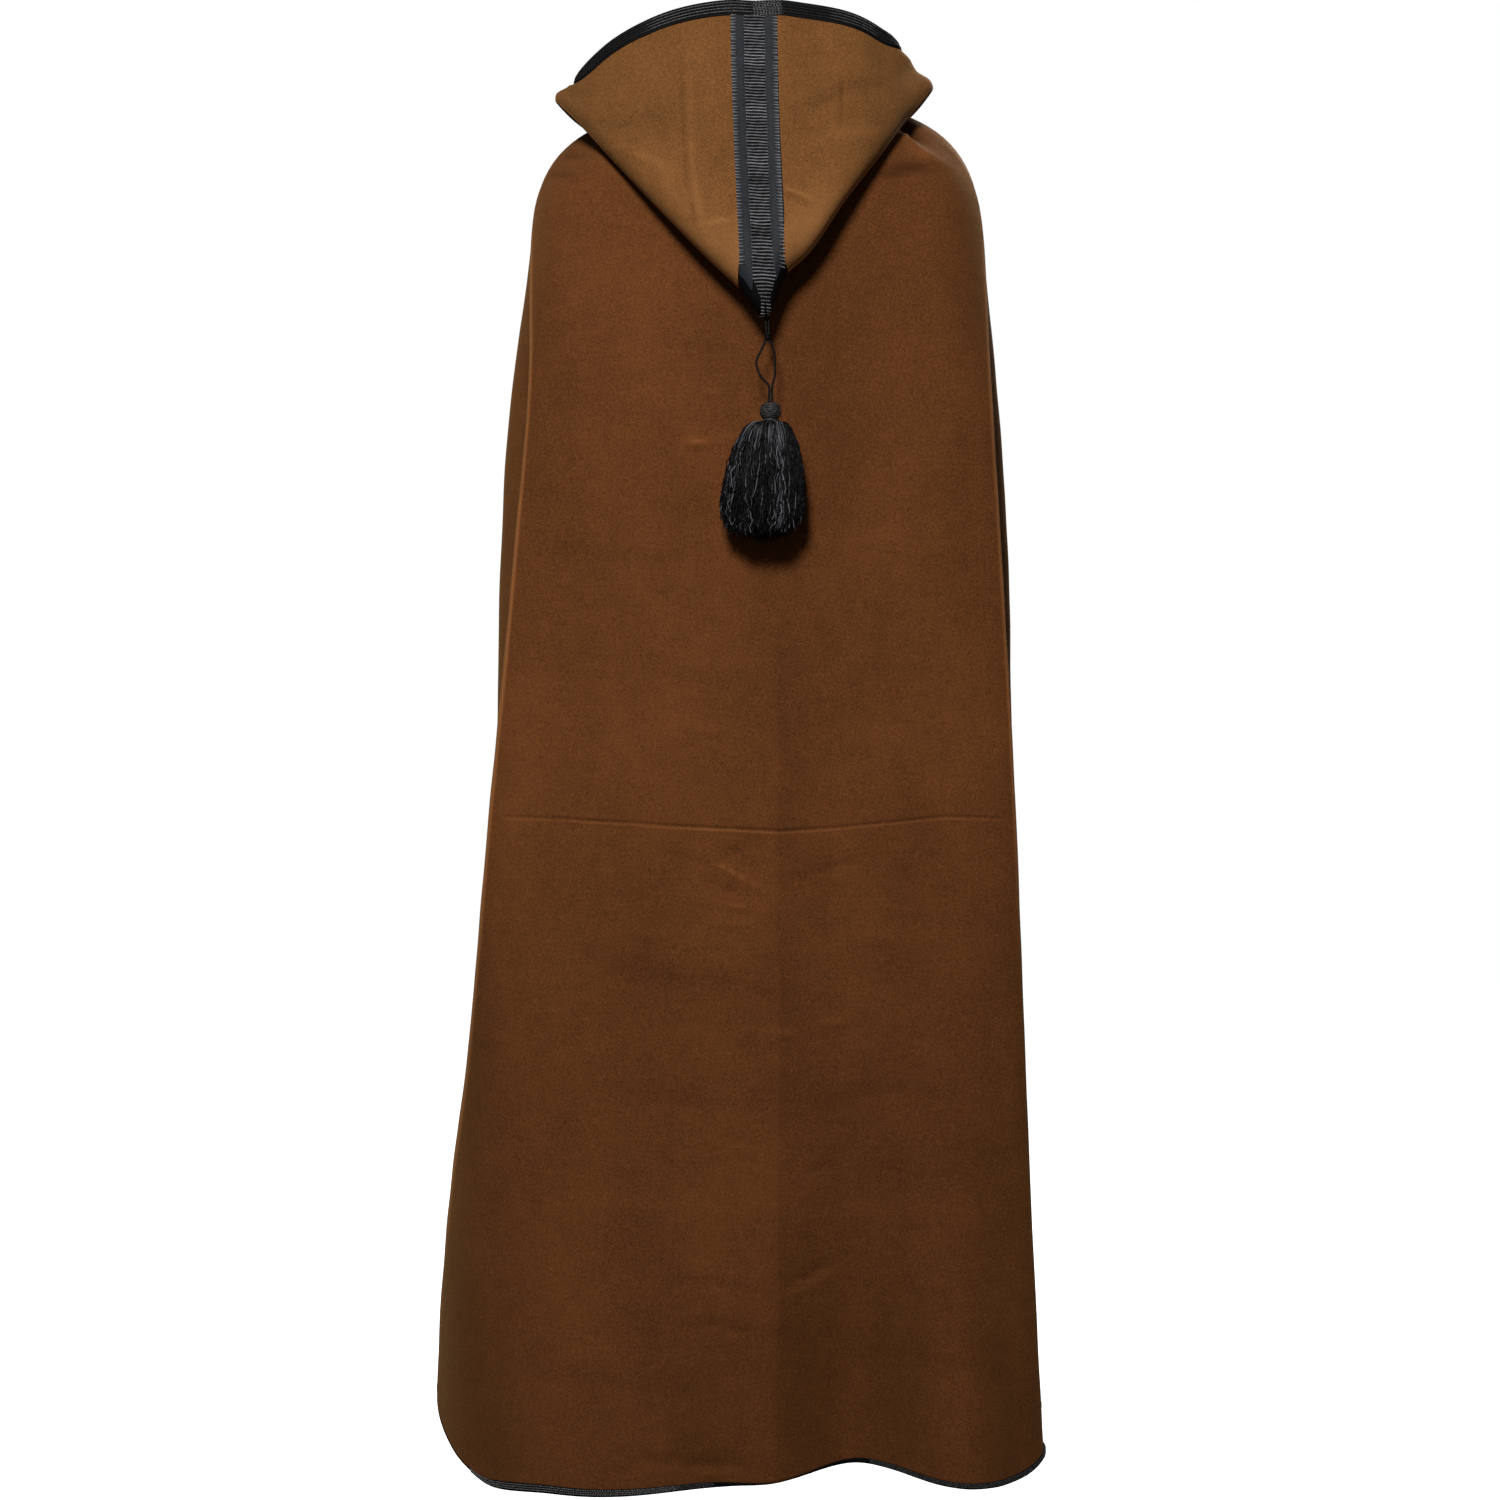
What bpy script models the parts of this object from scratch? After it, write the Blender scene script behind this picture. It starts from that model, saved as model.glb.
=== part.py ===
"""Burnous: a long hooded cloak of brown felted wool, worn, with its hood lying on the back.

Metres, +Z up. The front faces -Y, the back +Y, and the wearer's left is +X. The origin is the middle
of the neck, level with the tops of the shoulders that hold the cloak up.

The cloak is a back and two fronts, seamed over the shoulders and down behind the arms. The hood is
two halves, joined over the crown under a ribbon and down the back, and sewn round the neck. Braid
binds the edge round the face, the fronts and the hem. A tassel hangs on cords from the hood's tip.
"""

import math

import bmesh
import bpy
from mathutils import Vector
from mathutils.bvhtree import BVHTree

# Cloth, braid and seams
CLOTH = 0.002
SEAM = 0.0005
BRAID = 0.0008
BRAID_CLEARANCE = 0.0005
FACE_BRAID_WIDTH = 0.0165
THROAT_BRAID_WIDTH = 0.009
HEM_BRAID_WIDTH = 0.0085
RIBBON_SHARE = 0.05  # the ribbon's edge, as a share of the way round the hood

# Neck: an upright oval, high at the sides and low at the throat
NECK_HALF_WIDTH = 0.078
NECK_BACK_DEPTH = 0.062
NECK_FRONT_DEPTH = 0.076
NECK_SWEEP = math.radians(179.6)
NAPE_HEIGHT = 0.012
NECK_SIDE_HEIGHT = 0.022
THROAT_HEIGHT = -0.075

# Where the cloth stops lying on the shoulders and starts to hang
HANG_HEIGHT = -0.115
SIDES = {"left": 1, "right": -1}
SEAM_SHARE = 0.5  # the shoulder and side seam, as a share of the way from centre back to centre front

# Horizontal sections of the hanging cloth, from the shoulders (drop 0) to the hem (drop 1).
LEVELS = (
    # drop, back_y, front_y, front_gap
    (0.00, 0.100, -0.088, 0.0005),
    (0.11, 0.116, -0.128, 0.0005),
    (0.26, 0.124, -0.140, 0.0060),
    (0.46, 0.132, -0.150, 0.0130),
    (0.70, 0.142, -0.165, 0.0230),
    (0.89, 0.152, -0.183, 0.0330),
    (1.00, 0.158, -0.192, 0.0390),
)
# On each side the cloth folds forward at an edge, falls into a valley and swells out round the arm.
SIDE_LEVELS = {
    "left": (
        # drop, edge_x, edge_y, valley_x, valley_y, arm_x, arm_y
        (0.00, 0.230, 0.034, 0.231, 0.012, 0.229, -0.026),
        (0.11, 0.227, 0.085, 0.216, 0.040, 0.250, -0.030),
        (0.26, 0.240, 0.108, 0.218, 0.052, 0.264, -0.030),
        (0.46, 0.261, 0.110, 0.240, 0.050, 0.269, -0.035),
        (0.70, 0.290, 0.085, 0.277, 0.025, 0.290, -0.045),
        (0.89, 0.319, 0.035, 0.313, -0.020, 0.314, -0.075),
        (1.00, 0.328, -0.005, 0.322, -0.050, 0.315, -0.100),
    ),
    "right": (
        (0.00, 0.230, 0.034, 0.231, 0.012, 0.229, -0.026),
        (0.11, 0.232, 0.085, 0.222, 0.040, 0.246, -0.030),
        (0.26, 0.242, 0.108, 0.222, 0.052, 0.258, -0.030),
        (0.46, 0.255, 0.114, 0.234, 0.055, 0.263, -0.035),
        (0.70, 0.266, 0.114, 0.248, 0.052, 0.275, -0.040),
        (0.89, 0.276, 0.112, 0.259, 0.050, 0.287, -0.055),
        (1.00, 0.284, 0.108, 0.266, 0.045, 0.293, -0.065),
    ),
}
# Shares of the way from centre back to centre front at which a section's own points lie
STATIONS = (0.0, 0.16, 0.31, 0.39, 0.45, 0.58, 0.74, 0.88, 1.0)

# The hem's height round each side
HEM = {
    "left": (
        # share, height
        (0.00, -1.354),
        (0.20, -1.357),
        (0.31, -1.352),
        (0.36, -1.320),
        (0.41, -1.292),
        (0.48, -1.284),
        (0.74, -1.318),
        (1.00, -1.338),
    ),
    "right": (
        (0.00, -1.354),
        (0.12, -1.341),
        (0.26, -1.354),
        (0.33, -1.352),
        (0.41, -1.330),
        (0.50, -1.322),
        (0.74, -1.330),
        (1.00, -1.338),
    ),
}
# Hanging folds: each swells out (or in, with a negative depth) towards the hem.
FOLDS = (
    # side, share, half_width, drop, depth
    ("left", 0.17, 0.15, 0.62, 0.034),
    ("right", 0.115, 0.11, 0.66, -0.046),
    ("right", 0.25, 0.09, 0.66, 0.022),
    ("left", 0.66, 0.07, 0.20, 0.026),
    ("left", 0.80, 0.08, 0.30, -0.020),
    ("left", 0.92, 0.07, 0.25, 0.018),
    ("right", 0.67, 0.07, 0.25, 0.024),
    ("right", 0.81, 0.08, 0.20, -0.022),
    ("right", 0.93, 0.07, 0.30, 0.016),
)

# The shoulders: how the cloth leaves the neck and comes down on to the hanging part
SHOULDER = (
    # share, slope_deg, reach, lift
    (0.00, 56.0, 0.42, 0.050),
    (0.30, 26.0, 0.44, 0.062),
    (0.50, 5.0, 0.52, 0.084),
    (0.75, 30.0, 0.42, 0.050),
    (1.00, 62.0, 0.38, 0.012),
)
SHOULDER_LIFT = {"left": 0.0, "right": 0.010}

# The hood lies down. Each rib runs from the neck out to the fold, and back up to the face edge.
HOOD = {
    "left": (
        # share, fold x, y, z, face x, y, z, out_handle, face_handle, nose_rise
        (0.00, -0.008, 0.146, -0.211, 0.003, 0.088, 0.111, 0.056, 0.150, 0.00),
        (0.05, 0.016, 0.145, -0.184, 0.027, 0.088, 0.112, 0.054, 0.145, 0.00),
        (0.10, 0.043, 0.141, -0.158, 0.055, 0.087, 0.109, 0.052, 0.130, 0.02),
        (0.20, 0.091, 0.129, -0.108, 0.105, 0.080, 0.096, 0.042, 0.090, 0.08),
        (0.30, 0.142, 0.098, -0.050, 0.153, 0.062, 0.072, 0.034, 0.055, 0.20),
        (0.38, 0.182, 0.060, -0.001, 0.182, 0.042, 0.045, 0.022, 0.026, 0.45),
        (0.44, 0.203, 0.028, 0.024, 0.178, 0.002, 0.041, 0.016, 0.014, 0.72),
        (0.55, 0.188, -0.028, 0.016, 0.160, -0.034, 0.036, 0.014, 0.012, 0.90),
        (0.70, 0.124, -0.078, -0.020, 0.108, -0.072, 0.008, 0.012, 0.012, 0.95),
        (0.85, 0.060, -0.099, -0.058, 0.052, -0.092, -0.038, 0.010, 0.010, 0.95),
        (1.00, 0.010, -0.098, -0.078, 0.007, -0.093, -0.064, 0.006, 0.006, 0.95),
    ),
    "right": (
        (0.00, -0.008, 0.146, -0.211, 0.003, 0.088, 0.111, 0.056, 0.150, 0.00),
        (0.05, -0.025, 0.145, -0.173, -0.021, 0.088, 0.112, 0.054, 0.145, 0.00),
        (0.10, -0.048, 0.141, -0.150, -0.047, 0.087, 0.109, 0.052, 0.130, 0.02),
        (0.20, -0.086, 0.129, -0.094, -0.091, 0.080, 0.102, 0.044, 0.090, 0.08),
        (0.30, -0.124, 0.098, -0.041, -0.122, 0.062, 0.091, 0.038, 0.060, 0.20),
        (0.38, -0.151, 0.060, 0.001, -0.141, 0.042, 0.079, 0.030, 0.036, 0.45),
        (0.44, -0.176, 0.028, 0.035, -0.142, 0.000, 0.066, 0.020, 0.018, 0.72),
        (0.55, -0.164, -0.028, 0.026, -0.132, -0.036, 0.050, 0.016, 0.014, 0.90),
        (0.70, -0.112, -0.078, -0.014, -0.094, -0.072, 0.014, 0.014, 0.012, 0.95),
        (0.85, -0.058, -0.099, -0.056, -0.050, -0.092, -0.034, 0.010, 0.010, 0.95),
        (1.00, -0.010, -0.098, -0.078, -0.007, -0.093, -0.064, 0.006, 0.006, 0.95),
    ),
}
HOOD_CLEARANCE = 0.0050
NOSE_HANDLE = 0.012
FOLD_AT = 0.40  # the fold's place along a rib

# Tassel, hanging from the tip of the hood by two cords that part into a loop
TIP_Y = 0.147
TASSEL_Y = 0.1535
CORD_RADIUS = 0.0010
CORDS = {
    "left": (
        # x, z
        (-0.0080, -0.2133),
        (-0.0086, -0.2320),
        (-0.0040, -0.2440),
        (0.0010, -0.2560),
        (-0.0030, -0.2700),
        (-0.0112, -0.2800),
        (-0.0111, -0.2966),
    ),
    "right": (
        (-0.0110, -0.2118),
        (-0.0116, -0.2320),
        (-0.0160, -0.2440),
        (-0.0205, -0.2560),
        (-0.0190, -0.2700),
        (-0.0146, -0.2800),
        (-0.0145, -0.2966),
    ),
}
TASSEL_X = -0.0128
HEAD = (
    # z, radius
    (-0.2970, 0.0062),
    (-0.2985, 0.0096),
    (-0.3040, 0.0110),
    (-0.3095, 0.0100),
    (-0.3125, 0.0066),
    (-0.3150, 0.0080),
    (-0.3200, 0.0140),
    (-0.3270, 0.0185),
)
HEAD_SIDES = 28
LOCK_RINGS = (0.0185, 0.0135, 0.0085, 0.0035)
LOCK_STEPS = (
    # way, spread (times the radius at the root), thickness
    (0.00, 1.00, 0.0036),
    (0.14, 1.62, 0.0046),
    (0.40, 2.10, 0.0050),
    (0.72, 2.34, 0.0044),
    (1.00, 2.22, 0.0014),
)
LOCK_LENGTH = 0.088
LOCK_UNEVEN = 0.010
LOCK_START = 0.0012  # how far below its root a lock's first step lies
LOCK_WIDTH = 0.80  # of its share of the turn, at the root
LOCK_TAPER = 0.30
FLATTENED = 0.70
LOOSE_FROM = -0.3130

# Mesh density
BACK_COLUMNS = 13
FRONT_COLUMNS = 13
SHOULDER_ROWS = 7
HANG_ROWS = 19
HOOD_ROWS = 20
RIBBON_FIRST_ROW = 7.2  # just under the fold, on the hood's inner layer
CORD_POINTS = 18


# ---------------------------------------------------------------- curves


def curve_through(knots, points, at, flat_start=False):
    """A smooth curve through points at rising knots, read at a knot value."""
    last = len(knots) - 1
    i = min(max(sum(1 for k in knots[1:-1] if k <= at), 0), last - 1)

    def slope(j):
        if flat_start and j == 0:
            return 0.0 * points[0]
        a, b = max(j - 1, 0), min(j + 1, last)
        if a == j or b == j:
            return (points[b] - points[a]) / (knots[b] - knots[a])
        before, after = knots[j] - knots[a], knots[b] - knots[j]
        left, right = (points[j] - points[a]) / before, (points[b] - points[j]) / after
        return (left * after + right * before) / (before + after)

    span = knots[i + 1] - knots[i]
    t = (at - knots[i]) / span
    t2, t3 = t * t, t * t * t
    return (
        (2 * t3 - 3 * t2 + 1) * points[i]
        + (t3 - 2 * t2 + t) * span * slope(i)
        + (3 * t2 - 2 * t3) * points[i + 1]
        + (t3 - t2) * span * slope(i + 1)
    )


def read_table(rows, at, column, flat_start=False):
    """One column of a table whose first column rises, read between its rows."""
    return curve_through([r[0] for r in rows], [r[column] for r in rows], at, flat_start)


def bezier(a, b, c, d, t):
    s = 1 - t
    return s * s * s * a + 3 * s * s * t * b + 3 * s * t * t * c + t * t * t * d


def smooth(t):
    t = min(max(t, 0.0), 1.0)
    return t * t * (3 - 2 * t)


# ---------------------------------------------------------------- the cloak's surface


def neck_point(side, share):
    """A point of the neck seam, from the nape (share 0) round to the throat (share 1)."""
    angle = math.pi / 2 - NECK_SWEEP * share
    depth = NECK_BACK_DEPTH if angle > 0 else NECK_FRONT_DEPTH
    if share < SEAM_SHARE:
        height = NAPE_HEIGHT + (NECK_SIDE_HEIGHT - NAPE_HEIGHT) * smooth(share / SEAM_SHARE)
    else:
        fall = smooth((share - SEAM_SHARE) / (1 - SEAM_SHARE))
        height = NECK_SIDE_HEIGHT + (THROAT_HEIGHT - NECK_SIDE_HEIGHT) * fall
    height += 0.5 * SHOULDER_LIFT[side] * math.sin(math.pi * share) ** 2
    sign = SIDES[side]
    return Vector((sign * NECK_HALF_WIDTH * math.cos(angle), depth * math.sin(angle), height))


def stations(side, drop):
    """The points of one side of a horizontal section, from centre back to the front edge."""
    back_y, front_y, gap = (read_table(LEVELS, drop, c) for c in (1, 2, 3))
    edge_x, edge_y, valley_x, valley_y, arm_x, arm_y = (
        read_table(SIDE_LEVELS[side], drop, c) for c in range(1, 7)
    )
    return [
        Vector((0.0, back_y)),
        Vector((0.46 * edge_x, back_y)),
        Vector((0.86 * edge_x, back_y - 0.30 * (back_y - edge_y))),
        Vector((edge_x, edge_y)),
        Vector((valley_x, valley_y)),
        Vector((arm_x, arm_y)),
        Vector((0.76 * arm_x, 0.30 * arm_y + 0.70 * front_y)),
        Vector((0.40 * arm_x, 0.06 * arm_y + 0.94 * front_y)),
        Vector((gap, front_y)),
    ]


def section_point(side, share, drop):
    """A point of a horizontal section, before its hanging folds."""
    points = stations(side, drop)
    knots = [0.0]
    for a, b in zip(points, points[1:]):
        knots.append(knots[-1] + (b - a).length ** 0.5)
    i = min(sum(1 for s in STATIONS[1:-1] if s <= share), len(STATIONS) - 2)
    within = (share - STATIONS[i]) / (STATIONS[i + 1] - STATIONS[i])
    mirrored = [Vector((-points[1].x, points[1].y)), *points]
    at = knots[i] + within * (knots[i + 1] - knots[i])
    return curve_through([-knots[1], *knots], mirrored, at)


def fold_depth(side, share, drop):
    """How far the hanging folds carry the cloth out at a point. A fold near the middle crosses it."""
    depth = 0.0
    for fold_side, centre, half_width, start, deep in FOLDS:
        away = share - centre if fold_side == side else share + centre
        if abs(away) < half_width:
            swell = math.cos(math.pi / 2 * away / half_width) ** 2
            depth += deep * swell * smooth((drop - start) / (1 - start))
    return depth


def hanging_point(side, share, drop):
    """A point of the cloak below the shoulders."""
    near = 0.004
    at = section_point(side, share, drop)
    along = section_point(side, min(share + near, 1.0), drop)
    along -= section_point(side, max(share - near, 0.0), drop)
    out = Vector((-along.y, along.x)).normalized()
    at = at + out * fold_depth(side, share, drop)
    hem = read_table(HEM[side], share, 1, flat_start=True)
    return Vector((SIDES[side] * at.x, at.y, HANG_HEIGHT + drop * (hem - HANG_HEIGHT)))


def shoulder_point(side, share, way):
    """A point of the cloak between the neck (way 0) and where it starts to hang (way 1)."""
    slope, reach, lift = (read_table(SHOULDER, share, c) for c in (1, 2, 3))
    start, end = neck_point(side, share), hanging_point(side, share, 0.0)
    flat = Vector((end.x - start.x, end.y - start.y, 0.0))
    out = flat.normalized() * math.cos(math.radians(slope)) - Vector((0, 0, math.sin(math.radians(slope))))
    raised = Vector((0, 0, 0.5 * SHOULDER_LIFT[side] * math.sin(math.pi * share) ** 2))
    return bezier(
        start,
        start + out * reach * (end - start).length + raised,
        end + Vector((0, 0, lift)) + raised,
        end,
        way,
    )


def cloak_grid(side, shares):
    """Rows of points from the neck to the hem, at these shares of the way round."""
    rows = [[shoulder_point(side, s, r / SHOULDER_ROWS) for s in shares] for r in range(SHOULDER_ROWS)]
    rows += [[hanging_point(side, s, r / HANG_ROWS) for s in shares] for r in range(HANG_ROWS + 1)]
    return rows


# ---------------------------------------------------------------- the hood's surface


def hood_point(side, share, way, cloak):
    """A point of the hood: way 0 at the neck, FOLD_AT at the fold and 1 at the face edge."""
    row = [read_table(HOOD[side], share, c, flat_start=c != 1 and c != 4) for c in range(1, 10)]
    fold, face = Vector(row[0:3]), Vector(row[3:6])
    out_handle, face_handle, rise = row[6:9]
    base = neck_point(side, share) + Vector((0, 0, CLOTH + SEAM))
    nose = Vector((0.0, 1.0 - rise, rise)).normalized()
    if way < FOLD_AT:
        down = Vector((0, 0, -0.25)) * (1 - rise)
        handle = 0.35 * (fold - base).length
        start_handle = base + ((fold - base).normalized() + down).normalized() * handle
        point = bezier(base, start_handle, fold - nose * NOSE_HANDLE, fold, way / FOLD_AT)
        clearance = CLOTH + SEAM + (HOOD_CLEARANCE - SEAM) * smooth(6 * way)
        return kept_off(point, clearance, cloak)
    upward = (face - fold).normalized()
    settle = Vector((0.0, -0.30, 1.0)).normalized() * (1 - rise) + upward * rise
    return bezier(
        fold,
        fold + nose * out_handle,
        face - settle.normalized() * face_handle,
        face,
        (way - FOLD_AT) / (1 - FOLD_AT),
    )


def kept_off(point, clearance, cloak):
    """The point, moved out of the cloak's cloth if it lies nearer than that."""
    place, normal, _, _ = cloak.find_nearest(point)
    if (point - place).dot(normal) < clearance:
        return place + normal * clearance
    return point


# ---------------------------------------------------------------- panels, and what lies on them


class Panel:
    """A grid of points from the wearer's left, round the back, to the right, with its normals."""

    def __init__(self, left_rows, right_rows, outward):
        self.rows = [
            [*reversed(left[1:]), (left[0] + right[0]) / 2, *right[1:]]
            for left, right in zip(left_rows, right_rows)
        ]
        self.middle = len(left_rows[0]) - 1
        self.normals = []
        bottom, end = len(self.rows) - 1, 2 * self.middle
        for r, row in enumerate(self.rows):
            above, below = self.rows[max(r - 1, 0)], self.rows[min(r + 1, bottom)]
            line = []
            for c in range(end + 1):
                across = row[min(c + 1, end)] - row[max(c - 1, 0)]
                line.append(across.cross(below[c] - above[c]).normalized() * outward)
            self.normals.append(line)

    def at(self, row, column, distance=0.0):
        """A point at a row and column, either of which may lie between two, moved outward."""
        r, c = min(int(row), len(self.rows) - 2), min(int(column), 2 * self.middle - 1)
        v, u = row - r, column - c

        def blend(grid):
            upper = grid[r][c].lerp(grid[r][c + 1], u)
            return upper.lerp(grid[r + 1][c].lerp(grid[r + 1][c + 1], u), v)

        return blend(self.rows) + blend(self.normals).normalized() * distance

    def tree(self):
        """The panel as faces, to find the nearest place on it."""
        wide = len(self.rows[0])
        faces = []
        for r in range(len(self.rows) - 1):
            for c in range(wide - 1):
                above, below = r * wide + c, (r + 1) * wide + c
                faces.append((above, below, below + 1, above + 1))
        return BVHTree.FromPolygons([point for row in self.rows for point in row], faces)

    def row_from_end(self, column, width):
        """The row at which a column still has this width to its end."""
        row = len(self.rows) - 1
        while row > 0:
            length = (self.at(row, column) - self.at(row - 1, column)).length
            if width <= length:
                return row - width / length
            width -= length
            row -= 1
        return 0.0

    def column_beyond(self, row, column, width):
        """The column that lies this width beyond another, in a row. A negative width goes back."""
        step = 1 if width > 0 else -1
        return column + width / (self.at(row, column + step) - self.at(row, column)).length

    def piece(self, columns, rows, lift, thickness):
        """The outer and inner points of a wall over these columns and rows.

        A column is a number, or gives one for each row. A row is a number, or gives one for each column.
        """
        outer, inner = [], []
        for row in rows:
            row_of = row if callable(row) else lambda c, row=row: row
            spots = [(c(row_of(0)) if callable(c) else c) for c in columns]
            outer.append([self.at(row_of(c), c, lift + thickness / 2) for c in spots])
            inner.append([self.at(row_of(c), c, lift - thickness / 2) for c in spots])
        return outer, inner


# ---------------------------------------------------------------- meshes


def material(name, colour, roughness):
    made = bpy.data.materials.new(name)
    made.use_nodes = True
    shader = made.node_tree.nodes["Principled BSDF"]
    shader.inputs["Base Color"].default_value = (*colour, 1.0)
    shader.inputs["Roughness"].default_value = roughness
    return made


def add_object(name, data, collection, look):
    obj = bpy.data.objects.new(name, data)
    collection.objects.link(obj)
    data.materials.append(look)
    return obj


def wall_mesh(name, outer, inner):
    """A closed sheet between an outer and an inner grid of points."""
    mesh = bmesh.new()
    grids = [[[mesh.verts.new(p) for p in row] for row in rows] for rows in (outer, inner)]
    for grid in grids:
        for above, below in zip(grid, grid[1:]):
            for i in range(len(above) - 1):
                mesh.faces.new((above[i], below[i], below[i + 1], above[i + 1]))
    rims = []
    for grid in grids:
        right, left = [row[-1] for row in grid], [row[0] for row in grid]
        rims.append([*grid[0], *right[1:-1], *reversed(grid[-1]), *reversed(left[1:-1])])
    for i in range(len(rims[0])):
        mesh.faces.new((rims[0][i - 1], rims[0][i], rims[1][i], rims[1][i - 1]))
    return finished(name, mesh)


def spread(start, end, count):
    return [start + (end - start) * i / count for i in range(count + 1)]


def add_cord(name, route, collection, look):
    """A round cord on one smooth curve through its route."""
    knots = list(range(len(route)))
    count = CORD_POINTS - 1
    points = [curve_through(knots, route, knots[-1] * i / count) for i in range(CORD_POINTS)]
    curve = bpy.data.curves.new(name, "CURVE")
    curve.dimensions = "3D"
    spline = curve.splines.new("POLY")
    spline.points.add(count)
    for point, place in zip(spline.points, points):
        point.co = (*place, 1.0)
    curve.bevel_depth = CORD_RADIUS
    curve.bevel_resolution = 2
    curve.use_fill_caps = True
    add_object(name, curve, collection, look)


def finished(name, mesh):
    bmesh.ops.recalc_face_normals(mesh, faces=mesh.faces)
    data = bpy.data.meshes.new(name)
    mesh.to_mesh(data)
    mesh.free()
    data.shade_smooth()
    return data


def tassel_mesh(name):
    """The bound head, with locks of thread drawn out of its underside."""
    mesh = bmesh.new()
    centre = Vector((TASSEL_X, TASSEL_Y, 0.0))

    def ring(z, radius):
        made = []
        for j in range(HEAD_SIDES):
            turn = 2 * math.pi * j / HEAD_SIDES
            deep = radius * math.sin(turn) * (1.0 if z > LOOSE_FROM else FLATTENED)
            made.append(mesh.verts.new(centre + Vector((radius * math.cos(turn), deep, z))))
        return made

    rings = [ring(z, radius) for z, radius in HEAD]
    rings += [ring(HEAD[-1][0] - 0.0005 * i, radius) for i, radius in enumerate(LOCK_RINGS) if i]
    under = []
    for i, (above, below) in enumerate(zip(rings, rings[1:])):
        for j in range(HEAD_SIDES):
            k = (j + 1) % HEAD_SIDES
            face = mesh.faces.new((above[j], above[k], below[k], below[j]))
            if i >= len(HEAD) - 1:
                under.append((face, i * HEAD_SIDES + j))
    mesh.faces.new(rings[0][::-1])
    mesh.faces.new(rings[-1])
    for face, number in under:
        draw_lock(mesh, face, number, centre)
    return finished(name, mesh)


def draw_lock(mesh, face, number, centre):
    """One lock of thread: its root is a face of the head, and it hangs and spreads from there."""
    root = face.calc_center_median() - centre
    root.y /= FLATTENED
    turn, radius = math.atan2(root.y, root.x), Vector((root.x, root.y)).length
    outward = Vector((math.cos(turn), math.sin(turn), 0))
    round_ = Vector((-math.sin(turn), math.cos(turn), 0))
    length = LOCK_LENGTH + LOCK_UNEVEN * math.sin(2.4 * number) * math.cos(0.7 * number)
    corners = list(face.verts)
    signs = []
    for corner in corners:
        away = corner.co - centre
        away.y /= FLATTENED
        away -= root
        signs.append((math.copysign(0.5, away.dot(round_)), math.copysign(0.5, away.dot(outward))))
    mesh.faces.remove(face)
    last = corners
    for way, spread_out, thick in LOCK_STEPS:
        turn_wide = 2 * math.pi / HEAD_SIDES * (LOCK_WIDTH - LOCK_TAPER * way)
        made = []
        height = root.z - LOCK_START - length * way
        for across, out in signs:
            away = radius * spread_out + out * thick
            at = outward * away + round_ * across * away * turn_wide
            made.append(mesh.verts.new(centre + Vector((at.x, at.y * FLATTENED, height))))
        for j in range(4):
            mesh.faces.new((last[j], last[(j + 1) % 4], made[(j + 1) % 4], made[j]))
        last = made
    mesh.faces.new(last)


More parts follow.
